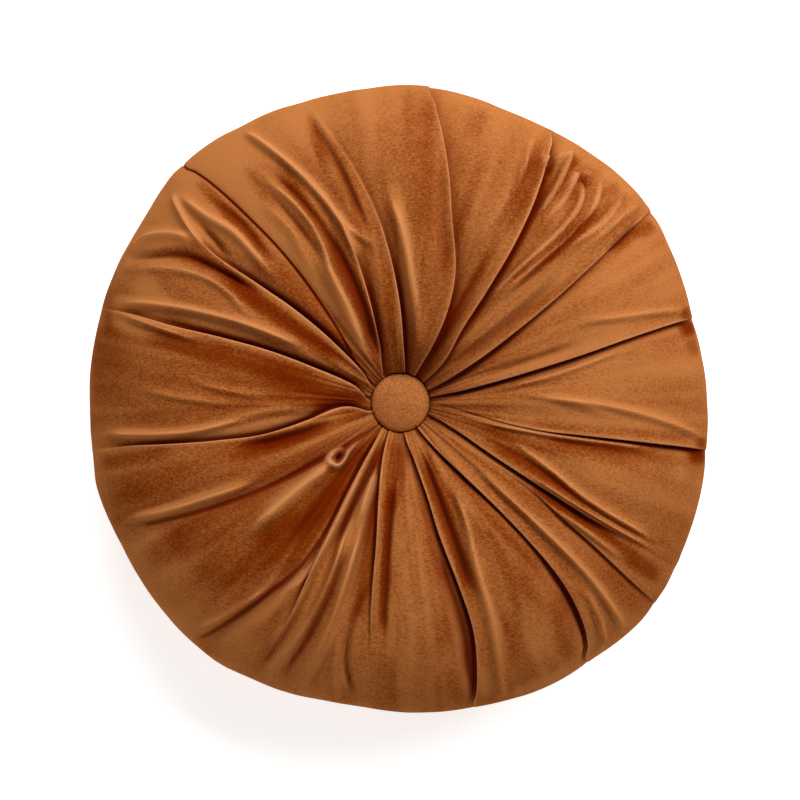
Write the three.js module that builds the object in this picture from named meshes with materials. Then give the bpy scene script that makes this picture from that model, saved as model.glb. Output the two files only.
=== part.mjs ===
// A round pleated velvet cushion that lies on its back, with a covered button drawn into each face.
// The cover is one tube of velvet: it is gathered at both ends, and its pleats run from the button out to the rim.
// Millimetres and degrees, +Z up. The origin is the middle of the underside, on the surface the cushion lies on,
// and turns are counted anticlockwise from +X, seen from above.
import * as THREE from 'three';

// The filled body. The buttons sit a little off the middle of its outline.
const buttonPlace = { x: 0.7, y: -2.0 };
const cushionRadius = 200;
const crownHeight = 126;
const crownRadius = 100;
const rimHeight = 56;
const frontFullness = 2.1;
const backFullness = 2.2;
const restRadius = 132;

// The two buttons and the wells they are drawn into.
const buttonRadius = 18;
const buttonThickness = 9.4;
const buttonEdgeHeight = 3.8;
const buttonDomeFullness = 0.62;
const buttonClearance = 0.3;
const frontWell = { floor: 84, depth: 36, spread: 24 };
const backWell = { floor: 29, depth: 23, spread: 15 };
const wellFloorRadius = 17.4;
const wellWallRadius = 18.8;
const wellEdgeRadius = 19.4;
const wellWallRise = 2;

// The shape of a pleat across its edge.
const edgeHalfWidth = 2.3;
const edgeShareOfPanel = 0.15;
const lipShareOfDepth = 0.3;
const lipReach = 11;
const grooveFlank = 0.5;
const panelPuff = { stations: [20, 50, 100, 160, 231], height: [0.8, 2.2, 2.4, 1.3, 0.4] };
const puffPanelWidth = 34;

// The mesh.
const flatReach = 185;
const innerRows = [wellEdgeRadius, 23, 28, 34, 42, 52, 64, 76, 88, crownRadius];
const frontRimRows = 10;
const backRimRows = 6;
const backRestRows = [112, 92, 74, 60, 49, 40, 32, 25.5, wellEdgeRadius];
const edgeSteps = [-1, -0.35, 0.35, 1];
const panelColumnWidth = 14;
const columnRadius = 120;
const buttonSegments = 40;
const buttonDomeRows = [0.99, 0.95, 0.86, 0.72, 0.52, 0.28];

// How far each stretch of the outline stands out from the mean radius.
const outline = [
	{ turn: 5, out: -5 }, { turn: 25, out: -4 }, { turn: 38, out: 0.8 }, { turn: 52, out: -0.6 },
	{ turn: 68, out: -2.4 }, { turn: 85, out: 2.2 }, { turn: 98, out: 0.9 }, { turn: 115, out: 2.6 },
	{ turn: 130.5, out: 5.2 }, { turn: 147, out: 0.5 }, { turn: 165, out: 0.5 }, { turn: 180, out: -2.4 },
	{ turn: 196, out: -0.4 }, { turn: 211, out: -0.6 }, { turn: 229, out: 3.1 }, { turn: 245, out: -0.8 },
	{ turn: 260, out: -4.1 }, { turn: 275, out: -1.7 }, { turn: 290, out: 0.8 }, { turn: 306, out: 3.9 },
	{ turn: 320.5, out: 6.6 }, { turn: 333, out: 2 }, { turn: 346, out: -0.2 },
];

// One row for each pleat. turn: where its edge lies at each of turnStations, out from the button. deep: how far
// the cloth dives under it at each of deepStations; the last is the rim. open: how wide that dive is. lean: +1 where
// the cloth on the far side, anticlockwise, lies on top, -1 where the near side does, and 0 for a plain groove.
// backTurn and backDeep: where it reaches the back button, and how strong it is on the back.
const turnStations = [20, 27, 35, 55, 80, 110, 140, 170, 195];
const deepStations = [20, 50, 85, 120, 150, 180, 205, 231];
const pleats = [
	{ name: 'a', turn: [11.5, 12, 12, 12.9, 14, 15, 15.9, 16.3, 16.3], deep: [2.4, 5.4, 5, 4.6, 4.2, 3.8, 1, 0], open: 4, lean: 1, backTurn: 9, backDeep: 1.1 },
	{ name: 'b', turn: [25.3, 26, 27, 29.4, 31.9, 34, 35.8, 37, 37.5], deep: [2.6, 6, 4, 2.6, 2, 1.8, 1, 0.2], open: 5, lean: 1, backTurn: 31, backDeep: 0.8 },
	{ name: 'c', turn: [42.3, 42.6, 43.8, 50, 52.4, 54.2, 56.3, 58.8, 60.6], deep: [2, 3.6, 5.2, 5.6, 5.6, 4, 0.6, 0], open: 8, lean: 1, backTurn: 47, backDeep: 1 },
	{ name: 'd', turn: [62.5, 61.8, 61, 62.3, 66.6, 74, 78.4, 82.2, 84.8], deep: [3, 4.6, 2.6, 2.2, 2, 1.5, 0.9, 0.2], open: 6, lean: 1, backTurn: 68, backDeep: 1.2 },
	{ name: 'e', turn: [83, 85.5, 87.6, 90.3, 93.4, 97, 101, 105, 107.4], deep: [3, 6.6, 3.2, 1.6, 1, 0.3, 0, 0], open: 6, lean: 1, backTurn: 84, backDeep: 0.9 },
	{ name: 'f', turn: [122.5, 115.5, 110.6, 107.4, 106.8, 107.8, 111.6, 116.6, 119], deep: [2, 5, 2.2, 0, 0, 0, 0, 0], open: 6, lean: 1, backTurn: 104, backDeep: 1.1 },
	{ name: 'seam', turn: [147, 140, 136.8, 130.9, 128.4, 128.1, 129.3, 130.7, 132.4], deep: [0.3, 0.6, 1.2, 1.2, 1.2, 1, 0.8, 0.6], open: 3, lean: 0, backTurn: 121, backDeep: 0.3 },
	{ name: 'h', turn: [151, 143.4, 139.9, 138.1, 138.6, 140.4, 141.5, 139.6, 137.6], deep: [2.6, 6, 5, 4, 1.6, 0, 0, 0], open: 5, lean: 1, backTurn: 137, backDeep: 1 },
	{ name: 'j', turn: [176, 162.5, 158.8, 158.1, 158.4, 160, 161.4, 161.8, 162.4], deep: [2.6, 6.2, 5, 4.2, 3, 1, 0, 0], open: 5, lean: 1, backTurn: 157, backDeep: 1.2 },
	{ name: 'k', turn: [197, 187.5, 184.6, 190.7, 193.2, 191.8, 190.2, 189, 189], deep: [3.4, 5, 4.4, 3.6, 3, 1, 0, 0], open: 5, lean: 1, backTurn: 172, backDeep: 0.8 },
	{ name: 'm', turn: [226, 222.5, 219.8, 215.8, 213.6, 210.8, 208, 205.6, 204], deep: [1.2, 2.2, 2, 1.7, 1.6, 0.4, 0, 0], open: 5, lean: 0, backTurn: 193, backDeep: 1.1 },
	{ name: 'p', turn: [230.3, 232.5, 234.2, 236.8, 239, 238.9, 235, 231.6, 229], deep: [0, 0, 0.2, 1.8, 1.8, 1, 0, 0], open: 6, lean: 0, backTurn: 209, backDeep: 0.9 },
	{ name: 'o', turn: [235, 237.2, 238.2, 239.4, 240.9, 242, 242.6, 242.4, 242], deep: [2.6, 7.4, 6, 3, 0.3, 0, 0, 0], open: 8, lean: 1, backTurn: 229, backDeep: 1.2 },
	{ name: 'q', turn: [249.5, 251, 252.8, 257, 260.2, 261.6, 262.6, 263.6, 264.6], deep: [2.6, 4.4, 4.4, 2.6, 0.3, 0, 0, 0], open: 4, lean: 1, backTurn: 245, backDeep: 1 },
	{ name: 'r', turn: [279, 281.6, 284.3, 286.4, 286.7, 287.9, 288, 285.9, 283.8], deep: [2.6, 4, 4.6, 6, 6.8, 4.6, 0.6, 0], open: 8, lean: 1, backTurn: 265, backDeep: 0.8 },
	{ name: 's', turn: [305.9, 307, 308.4, 311.3, 312.9, 313.2, 312.4, 309.7, 306], deep: [2.6, 4.6, 3.6, 3.6, 4.2, 3.6, 0.8, 0], open: 6, lean: 1, backTurn: 281, backDeep: 1.1 },
	{ name: 't', turn: [324, 325, 326, 327.2, 327.2, 325.2, 323.7, 322.4, 321.9], deep: [0, 0, 1, 2.4, 2.2, 1.4, 0.6, 0], open: 4, lean: 1, backTurn: 301, backDeep: 1 },
	{ name: 'u', turn: [338.4, 336.9, 334.9, 331.6, 329.9, 329.2, 328.8, 328.8, 328.9], deep: [2.6, 4.6, 5.4, 3.4, 0.2, 0, 0, 0], open: 6, lean: 1, backTurn: 317, backDeep: 1.2 },
	{ name: 'v', turn: [347, 346, 344.5, 342, 338.9, 334.2, 331.8, 331.6, 332], deep: [0, 0.4, 0.8, 0.4, 0, 0, 0, 0], open: 4, lean: 1, backTurn: 337, backDeep: 0.8 },
	{ name: 'w', turn: [361, 358, 354.3, 350, 349.2, 350.2, 350.9, 351.3, 351.4], deep: [0.6, 1, 2.2, 4, 4.6, 4.4, 1, 0], open: 4, lean: 1, backTurn: 353, backDeep: 1.1 },
];
const backDepth = { stations: [20, 50, 100, 150, 231], depth: [1.6, 4.6, 3.4, 2.2, 0] };
const backLineRadius = 40;

// One row for each soft swell, or hollow where high is below zero, that lies between the pleats. Each runs through
// three places, given as a turn and a radius; wide is half its breadth.
const swells = [
	{ name: 'twin swells before c', from: [48, 90], via: [45.8, 128], to: [48.4, 176], wide: 4.4, high: 2.4 },
	{ name: 'shoulder left of e', from: [75, 38], via: [86, 78], to: [92.4, 118], wide: 4.2, high: 3.2 },
	{ name: 'hollow beyond e', from: [101.6, 108], via: [104.8, 146], to: [107.6, 178], wide: 2.8, high: -2.6 },
	{ name: 'hollow beyond f', from: [114, 34], via: [111.2, 72], to: [114.2, 112], wide: 3, high: -3 },
	{ name: 'swell along f', from: [107, 92], via: [111, 130], to: [117.6, 170], wide: 3, high: 3 },
	{ name: 'swell before the seam', from: [125.6, 40], via: [119.4, 64], to: [118.6, 92], wide: 4, high: 2.8 },
	{ name: 'swell before h', from: [134.8, 110], via: [134.2, 136], to: [136.8, 174], wide: 3.4, high: 3 },
	{ name: 'hollow beyond h', from: [142.8, 112], via: [145, 152], to: [150.8, 188], wide: 3.4, high: -3 },
	{ name: 'arch at the rim', from: [142, 154], via: [145.4, 176], to: [152, 195], wide: 3, high: 3 },
	{ name: 'long swell before j', from: [151, 74], via: [154.6, 118], to: [160, 174], wide: 3, high: 3 },
	{ name: 'short swell before j', from: [149.8, 104], via: [147.2, 134], to: [152.6, 174], wide: 2.8, high: 2 },
	{ name: 'swell before k', from: [186.6, 100], via: [187.8, 130], to: [186.2, 175], wide: 2.6, high: 3 },
	{ name: 'hollow beyond k', from: [197.4, 46], via: [197.6, 68], to: [196, 94], wide: 3.4, high: -3 },
	{ name: 'swell before m', from: [207.8, 104], via: [205.8, 136], to: [203.4, 174], wide: 2.6, high: 3 },
	{ name: 'swell beyond m', from: [219.6, 58], via: [219.4, 78], to: [220.4, 112], wide: 4, high: 3.2 },
	{ name: 'hollow before o', from: [231, 34], via: [232, 64], to: [232, 104], wide: 4.8, high: -2.4 },
	{ name: 'ridge of p', from: [234.2, 134], via: [232, 152], to: [229, 178], wide: 2.6, high: 3 },
	{ name: 'hollow beyond o', from: [245.4, 32], via: [245, 56], to: [245.2, 94], wide: 2.8, high: -3 },
	{ name: 'crest before q', from: [250, 46], via: [250, 58], to: [250.2, 74], wide: 3.2, high: 3 },
	{ name: 'hollow before q', from: [255, 60], via: [255.6, 90], to: [254.8, 124], wide: 2.8, high: -2.2 },
	{ name: 'hollow beyond q', from: [264.6, 50], via: [264.9, 96], to: [265.6, 140], wide: 3, high: -2.2 },
	{ name: 'hollow beyond r', from: [292, 36], via: [291.4, 66], to: [290.4, 114], wide: 3.4, high: -2.6 },
	{ name: 'ridge beyond r', from: [301.4, 66], via: [294.4, 114], to: [289.2, 184], wide: 3.4, high: 2.6 },
	{ name: 'swell beyond s', from: [319, 70], via: [318.2, 120], to: [314.8, 186], wide: 2.6, high: 2.4 },
	{ name: 'ridge of u', from: [330.6, 92], via: [329.8, 122], to: [329.8, 164], wide: 2.4, high: 2 },
	{ name: 'swell of v', from: [339.2, 74], via: [333.8, 110], to: [331.6, 164], wide: 2.8, high: 2.4 },
	{ name: 'swell before w', from: [346.9, 56], via: [348.2, 100], to: [349.6, 146], wide: 2.4, high: 2 },
	{ name: 'line beyond w', from: [361.6, 92], via: [358.6, 128], to: [354, 184], wide: 2.6, high: 2 },
];
const swellFade = 12;

const radians = THREE.MathUtils.degToRad;

// A smooth curve through values at rising stations, level beyond both ends.
function along(stations, values, at) {
	const last = stations.length - 1;
	if (at <= stations[0]) return values[0];
	if (at >= stations[last]) return values[last];
	const k = stations.findIndex((s) => s > at) - 1;
	const slope = (j) => {
		const before = Math.max(j - 1, 0);
		const after = Math.min(j + 1, last);
		return (values[after] - values[before]) / (stations[after] - stations[before]);
	};
	const step = stations[k + 1] - stations[k];
	const t = (at - stations[k]) / step;
	const rise = values[k + 1] - values[k];
	const start = slope(k) * step;
	const end = slope(k + 1) * step;
	return values[k] + t * (start + t * (3 * rise - 2 * start - end + t * (start + end - 2 * rise)));
}

const smooth = (t) => t * t * (3 - 2 * t);
const clamp01 = (t) => Math.min(Math.max(t, 0), 1);

// How far the outline stands out at a turn.
function outlineAt(turn) {
	const count = outline.length;
	const lap = (k) => 360 * Math.floor(k / count);
	const row = (k) => outline[((k % count) + count) % count];
	const stations = [];
	const values = [];
	for (let k = -1; k < count + 2; k++) {
		stations.push(row(k).turn + lap(k));
		values.push(row(k).out);
	}
	const first = stations[1];
	const wrapped = ((turn - first) % 360 + 360) % 360 + first;
	return along(stations, values, wrapped);
}

// The rows of the section, from the middle of the front well over the rim to the middle of the back well. Each has
// its radius and height, the way out of the cloth there, and its reach, the distance out along the cloth.
function sectionRows() {
	const rows = [];
	const add = (side, r, z) => rows.push({ side, r, z });
	const dip = (well, r) => well.depth * Math.exp(-(r - wellEdgeRadius) / well.spread);
	const rimStep = (k, count, fullness) => {
		const a = (Math.PI / 2) * (k / count);
		return [Math.sin(a) ** (2 / fullness), Math.max(Math.cos(a), 0) ** (2 / fullness)];
	};
	for (const r of innerRows) add('front', r, crownHeight - dip(frontWell, r));
	for (let k = 1; k <= frontRimRows; k++) {
		const [outward, upward] = rimStep(k, frontRimRows, frontFullness);
		const r = crownRadius + (cushionRadius - crownRadius) * outward;
		add('front', r, rimHeight + (crownHeight - rimHeight) * upward - dip(frontWell, r));
	}
	for (let k = backRimRows - 1; k >= 0; k--) {
		const [outward, upward] = rimStep(k, backRimRows, backFullness);
		add('back', restRadius + (cushionRadius - restRadius) * outward, rimHeight * (1 - upward));
	}
	for (const r of backRestRows) add('back', r, dip(backWell, r));
	rows.forEach((row, j) => {
		const before = rows[Math.max(j - 1, 0)];
		const after = rows[Math.min(j + 1, rows.length - 1)];
		const length = Math.hypot(after.r - before.r, after.z - before.z);
		row.outR = (before.z - after.z) / length;
		row.outZ = (after.r - before.r) / length;
	});
	const rimRow = rows.findLastIndex((row) => row.side === 'front');
	const measure = (from, step) => {
		let reach = rows[from].r;
		for (let j = from; ; j += step) {
			const row = rows[j];
			const last = rows[j - step];
			reach = row.r <= flatReach || j === from ? row.r : reach + Math.hypot(row.r - last.r, row.z - last.z);
			row.reach = reach;
			if (j === rimRow) return;
		}
	};
	measure(rows.length - 1, -1);
	const backRimReach = rows[rimRow].reach;
	measure(0, 1);
	const frontRimReach = rows[rimRow].reach;
	for (const row of rows) row.rimReach = row.side === 'front' ? frontRimReach : backRimReach;
	return rows;
}

// Where a pleat's edge lies on a row, and how deep the cloth dives under it.
function pleatOn(pleat, row) {
	if (row.side === 'front') {
		return { turn: along(turnStations, pleat.turn, row.reach), deep: along(deepStations, pleat.deep, row.reach) };
	}
	const share = clamp01((row.rimReach - row.reach) / (row.rimReach - backLineRadius));
	const rimTurn = pleat.turn.at(-1);
	const rimDeep = pleat.deep.at(-1) * (1 - smooth(share));
	return {
		turn: rimTurn + (pleat.backTurn - rimTurn) * smooth(share),
		deep: rimDeep + pleat.backDeep * along(backDepth.stations, backDepth.depth, row.reach),
	};
}

// The columns, as [panel, place in it]: steps across each pleat's edge, then steps over the panel beyond it.
function panelColumns() {
	const columns = [];
	pleats.forEach((pleat, i) => {
		const next = pleats[(i + 1) % pleats.length];
		const lap = i + 1 === pleats.length ? 360 : 0;
		const width = columnRadius * radians(along(turnStations, next.turn, columnRadius) + lap
			- along(turnStations, pleat.turn, columnRadius));
		const count = Math.max(1, Math.round(width / panelColumnWidth));
		for (const step of edgeSteps.filter((s) => s > 0)) columns.push({ panel: i, edge: 0, step });
		for (let k = 1; k <= count; k++) columns.push({ panel: i, edge: null, step: k / (count + 1) });
		for (const step of edgeSteps.filter((s) => s < 0)) columns.push({ panel: i, edge: 1, step });
	});
	return columns;
}

// The height that one pleat gives the cloth: -1 to 1 across its edge is step, and away is the distance beyond that.
function pleatHeight(pleat, deep, step, away) {
	if (pleat.lean === 0) {
		const inside = Math.abs(step) < 1 ? 1 - smooth(Math.abs(step)) : 0;
		return -deep * (inside + grooveFlank * Math.exp(-away / pleat.open));
	}
	const lip = deep * lipShareOfDepth;
	const side = step * pleat.lean;
	if (Math.abs(step) < 1) return -deep + (deep + lip) * smooth((side + 1) / 2);
	return side > 0 ? lip * Math.exp(-away / lipReach) : -deep * Math.exp(-away / pleat.open);
}

// The height that the soft swells give a place on the front.
function swellHeight(turn, reach) {
	let height = 0;
	for (const swell of swells) {
		const [fromTurn, fromReach] = swell.from;
		const [viaTurn, viaReach] = swell.via;
		const [toTurn, toReach] = swell.to;
		if (reach < fromReach - swellFade || reach > toReach + swellFade) continue;
		const line = along([fromReach, viaReach, toReach], [fromTurn, viaTurn, toTurn], reach);
		const across = Math.abs(((turn - line + 540) % 360) - 180);
		const away = reach * radians(across) / swell.wide;
		const start = smooth(clamp01((reach - fromReach + swellFade) / (2 * swellFade)));
		const end = smooth(clamp01((toReach - reach + swellFade) / (2 * swellFade)));
		height += swell.high * start * end * Math.exp(-away * away);
	}
	return height;
}

// A point of the cover where a column crosses a row.
function coverPoint(column, row) {
	const near = pleats[column.panel];
	const far = pleats[(column.panel + 1) % pleats.length];
	const lap = column.panel + 1 === pleats.length ? 360 : 0;
	const a = pleatOn(near, row);
	const b = pleatOn(far, row);
	const width = row.r * radians(b.turn + lap - a.turn);
	const edge = Math.min(edgeHalfWidth, width * edgeShareOfPanel);
	let across = edge + (width - 2 * edge) * column.step;
	if (column.edge === 0) across = edge * column.step;
	if (column.edge === 1) across = width + edge * column.step;
	const stepA = column.edge === 0 ? column.step : 1;
	const stepB = column.edge === 1 ? column.step : -1;
	let height = pleatHeight(near, a.deep, stepA, Math.max(across - edge, 0));
	height += pleatHeight(far, b.deep, stepB, Math.max(width - across - edge, 0));
	const share = across / width;
	const puff = along(panelPuff.stations, panelPuff.height, row.reach);
	height += puff * Math.min(1, width / puffPanelWidth) * (1 - (2 * share - 1) ** 2) ** 2;
	const turn = a.turn + across / radians(row.r);
	if (row.side === 'front') height += swellHeight(turn, row.reach);
	const stretch = smooth(clamp01((row.r - crownRadius) / (cushionRadius - crownRadius)));
	const r = row.r + outlineAt(turn) * stretch + row.outR * height;
	const z = Math.max(row.z + row.outZ * height, 0);
	return new THREE.Vector3(r * Math.cos(radians(turn)), r * Math.sin(radians(turn)), z);
}

// The filled cover: a lathe of the right number of rows and columns, with every point put where the cloth lies. A
// lathe's section runs from the bottom up.
function coverGeometry() {
	const rows = sectionRows();
	const columns = panelColumns();
	const flatRing = (r, z) => (turn) => new THREE.Vector3(r * Math.cos(turn), r * Math.sin(turn), z);
	const wellRings = (well, up) => [
		flatRing(0, well.floor),
		flatRing(wellFloorRadius, well.floor),
		flatRing(wellWallRadius, well.floor + up * wellWallRise),
	];
	const frontRings = wellRings(frontWell, 1);
	const backRings = wellRings(backWell, -1).reverse();
	const ringCount = frontRings.length + rows.length + backRings.length;
	const section = Array.from({ length: ringCount }, (_, j) => new THREE.Vector2(1, j));
	const geometry = new THREE.LatheGeometry(section, columns.length);
	const position = geometry.getAttribute('position');
	for (let i = 0; i <= columns.length; i++) {
		const column = columns[i % columns.length];
		const body = rows.map((row) => coverPoint(column, row));
		const ringTurn = (point) => Math.atan2(point.y, point.x);
		const ring = [
			...frontRings.map((place) => place(ringTurn(body[0]))),
			...body,
			...backRings.map((place) => place(ringTurn(body.at(-1)))),
		];
		ring.reverse();
		ring.forEach((point, j) => position.setXYZ(i * ringCount + j, point.x, point.y, point.z));
	}
	geometry.deleteAttribute('uv');
	geometry.computeVertexNormals();
	return geometry;
}

// A covered button: a flat back, a rounded edge and a low dome, turned about its axis.
function buttonGeometry() {
	const domeHeight = buttonThickness - buttonEdgeHeight;
	const dome = (share) => buttonEdgeHeight + domeHeight * Math.cos((Math.PI / 2) * share) ** buttonDomeFullness;
	const section = [
		new THREE.Vector2(0, 0),
		new THREE.Vector2(buttonRadius - 3, 0),
		new THREE.Vector2(buttonRadius - 1, 1),
		new THREE.Vector2(buttonRadius - 0.2, buttonEdgeHeight * 0.6),
		new THREE.Vector2(buttonRadius, buttonEdgeHeight),
	];
	for (const share of buttonDomeRows) section.push(new THREE.Vector2(buttonRadius * share, dome(share)));
	section.push(new THREE.Vector2(0, buttonThickness));
	return new THREE.LatheGeometry(section, buttonSegments);
}

function velvet(color) {
	return new THREE.MeshStandardMaterial({ color, roughness: 0.85, metalness: 0 });
}

const cushion = new THREE.Group();
cushion.position.set(buttonPlace.x, buttonPlace.y, 0);

const cover = new THREE.Mesh(coverGeometry(), velvet(0xa9622f));
cover.name = 'cover';
cushion.add(cover);

const frontButton = new THREE.Mesh(buttonGeometry(), velvet(0xae6735));
frontButton.name = 'front_button';
frontButton.rotation.x = Math.PI / 2;
frontButton.position.z = frontWell.floor + buttonClearance;
cushion.add(frontButton);

const backButton = new THREE.Mesh(buttonGeometry(), velvet(0xae6735));
backButton.name = 'back_button';
backButton.rotation.x = -Math.PI / 2;
backButton.position.z = backWell.floor - buttonClearance;
cushion.add(backButton);

export default cushion;
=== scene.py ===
import math

import bpy
import numpy as np
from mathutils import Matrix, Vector


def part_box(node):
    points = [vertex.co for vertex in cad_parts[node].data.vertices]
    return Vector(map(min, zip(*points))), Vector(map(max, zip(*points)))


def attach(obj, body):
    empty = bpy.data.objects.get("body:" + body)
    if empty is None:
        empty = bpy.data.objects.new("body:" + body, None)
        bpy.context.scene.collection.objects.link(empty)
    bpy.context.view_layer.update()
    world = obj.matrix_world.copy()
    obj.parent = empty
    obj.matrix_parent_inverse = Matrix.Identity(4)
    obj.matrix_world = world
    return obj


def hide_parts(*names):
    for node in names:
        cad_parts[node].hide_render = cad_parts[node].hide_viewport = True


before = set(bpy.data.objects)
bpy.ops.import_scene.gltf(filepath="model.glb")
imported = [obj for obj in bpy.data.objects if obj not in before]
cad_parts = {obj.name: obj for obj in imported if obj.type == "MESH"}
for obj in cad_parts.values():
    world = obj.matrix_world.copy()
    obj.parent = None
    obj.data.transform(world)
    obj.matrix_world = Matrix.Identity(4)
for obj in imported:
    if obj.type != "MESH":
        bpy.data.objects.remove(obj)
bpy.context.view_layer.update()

# A round pleated velvet cushion seen from straight above. Lengths in the tables are millimetres, turns are
# degrees anticlockwise from +X, and a reach is the distance out from the button along the cloth.

mm = 0.001
frontLow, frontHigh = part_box("front_button")
backLow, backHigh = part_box("back_button")
axisX = (frontLow[0] + frontHigh[0]) / 2 / mm
axisY = (frontLow[1] + frontHigh[1]) / 2 / mm
buttonRadius = (frontHigh[0] - frontLow[0]) / 2 / mm
wellFloor = frontLow[2] / mm
backFloor = backHigh[2] / mm


# Camera and light

camera = {
    "place": (0.5, -0.26, 856.0),
    "lens": 55.9,
    "sensor": 36.0,
}
lights = [
    {"name": "key", "place": (430, 840, 1180), "aim": (0, 0, 40), "size": (1600, 420), "power": 27.0},
    {"name": "fill", "place": (-480, -900, 700), "aim": (0, 0, 40), "size": (1300, 900), "power": 3.2},
]
room = {
    "sky": (1.0, 0.95, 0.9),
    "skyStrength": 0.16,
    "floor": (0.94, 0.94, 0.935),
    "floorGlow": 0.62,
    "floorSide": 4.0,       # metres from the middle to each side
}


def placeCamera():
    data = bpy.data.cameras.new("camera")
    data.lens = camera["lens"]
    data.sensor_width = camera["sensor"]
    data.clip_start = 0.01
    eye = bpy.data.objects.new("camera", data)
    eye.location = [c * mm for c in camera["place"]]
    bpy.context.collection.objects.link(eye)
    bpy.context.scene.camera = eye


def placeLights():
    for row in lights:
        data = bpy.data.lights.new(row["name"], "AREA")
        data.shape = "RECTANGLE"
        data.size = row["size"][0] * mm
        data.size_y = row["size"][1] * mm
        data.energy = row["power"]
        lamp = bpy.data.objects.new(row["name"], data)
        place = Vector(row["place"]) * mm
        lamp.location = place
        lamp.rotation_euler = (Vector(row["aim"]) * mm - place).to_track_quat("-Z", "Y").to_euler()
        bpy.context.collection.objects.link(lamp)
    world = bpy.data.worlds.new("room")
    world.use_nodes = True
    sky = world.node_tree.nodes["Background"]
    sky.inputs["Color"].default_value = (*room["sky"], 1)
    sky.inputs["Strength"].default_value = room["skyStrength"]
    bpy.context.scene.world = world
    bpy.context.scene.view_settings.view_transform = "Standard"


# Shader helpers

class Wire:
    # One socket of a node tree, so that shader maths reads as plain Python.
    def __init__(self, shader, socket):
        self.shader = shader
        self.socket = socket

    def maths(self, kind, first, second):
        return self.shader.node("ShaderNodeMath", {"operation": kind}, {0: first, 1: second}).out("Value")

    def __add__(self, other):
        return self.maths("ADD", self, other)

    def __radd__(self, other):
        return self.maths("ADD", other, self)

    def __sub__(self, other):
        return self.maths("SUBTRACT", self, other)

    def __rsub__(self, other):
        return self.maths("SUBTRACT", other, self)

    def __mul__(self, other):
        return self.maths("MULTIPLY", self, other)

    def __rmul__(self, other):
        return self.maths("MULTIPLY", other, self)

    def __truediv__(self, other):
        return self.maths("DIVIDE", self, other)

    def __pow__(self, other):
        return self.maths("POWER", self, other)


class Made:
    # A node that has been made, whose outputs are asked for by name.
    def __init__(self, shader, node):
        self.shader = shader
        self.node = node

    def out(self, name):
        return Wire(self.shader, self.node.outputs[name])


class Shader:
    def __init__(self, name):
        self.material = bpy.data.materials.new(name)
        self.material.use_nodes = True
        self.tree = self.material.node_tree
        self.surface = self.tree.nodes["Principled BSDF"]

    def feed(self, socket, value):
        if isinstance(value, Wire):
            self.tree.links.new(value.socket, socket)
        else:
            socket.default_value = value

    def node(self, kind, settings=None, sockets=None):
        node = self.tree.nodes.new(kind)
        for key, value in (settings or {}).items():
            setattr(node, key, value)
        for key, value in (sockets or {}).items():
            self.feed(node.inputs[key], value)
        return Made(self, node)

    def noise(self, place, scale, detail=2.0, roughness=0.5, distortion=0.0):
        sockets = {"Vector": place, "Scale": scale, "Detail": detail, "Roughness": roughness,
                   "Distortion": distortion}
        return self.node("ShaderNodeTexNoise", {}, sockets).out("Fac")

    def ramp(self, value, low, high):
        sockets = {"Value": value, "From Min": low, "From Max": high}
        return self.node("ShaderNodeMapRange", {"interpolation_type": "SMOOTHSTEP"}, sockets).out("Result")

    def mix(self, factor, first, second):
        # The colour sockets of this node share their names with its other ones, so they go by number.
        node = self.node("ShaderNodeMix", {"data_type": "RGBA"}, {0: factor, 6: first, 7: second}).node
        return Wire(self, node.outputs[2])

    def painted(self, key):
        # A value that the mesh carries at each point.
        return self.node("ShaderNodeAttribute", {"attribute_name": key}).out("Fac")

    def bump(self, height, look, under=None):
        sockets = {"Height": height, "Distance": look["depth"], "Strength": look["strength"]}
        if under is not None:
            sockets["Normal"] = under
        return self.node("ShaderNodeBump", {}, sockets).out("Normal")


# Velvet

velvetLook = {
    # The deep colour is the darkest tone, and also the painted shade that fills the hollows and creases.
    "deep": (0.125, 0.008, 0.0001, 1),
    "dark": (0.2, 0.036, 0.003, 1),
    "light": (0.445, 0.156, 0.042, 1),
    # The lip colour is a painted highlight along the lip edges of the pleats.
    "lip": (0.72, 0.34, 0.155, 1),
    "sheen": 0.13,
    "sheenRoughness": 0.35,
    "sheenTint": (1.0, 0.42, 0.15, 1),
    "roughness": 0.6,
    "specular": 0.0,
    "specularTint": (1.0, 0.6, 0.34, 1),
    "nap": {"scale": 16.0, "share": 0.5},
    "brush": {"scale": 75.0, "share": 0.32},
    "pile": {"scale": 900.0, "share": 1.9, "stretch": (0.6, 1.0, 1.0), "depth": 0.0003, "strength": 0.6},
    "crinkle": {"scale": 190.0, "depth": 0.0009, "strength": 0.3},
    "toneRange": (-0.34, 1.24),     # the tones that are the dark and the light colour
    "deepFrom": 0.1,                # below this tone the deep colour comes in
    "deepRange": 1.3,
    # Painted shade in the hollows: how far it darkens the tone, and how much the nap and pile break it up.
    "hollow": 0.45,
    "hollowNap": 0.5,
    "hollowPile": 0.4,
    # Painted highlight on the crests: how far it lifts the tone, its colour, how the pile breaks it up,
    # where it shows and how strong it is.
    "crest": 0.3,
    "crestHighlight": (0.7, 0.3, 0.12, 1),
    "crestPile": 0.8,
    "crestRange": (0.3, 1.2),
    "bright": 0.4,
    # The next weight is for the nap streaks together with the painted light and shade of the marks and the
    # rim.
    "napAndPaintedLight": 1.0,
    # laid is painted light and shade: faces turned towards the key light are painted lighter, faces turned
    # away darker.
    "laid": 0.3,
    # How strongly the painted lip highlight shows.
    "lipShare": 0.7,
}


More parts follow.
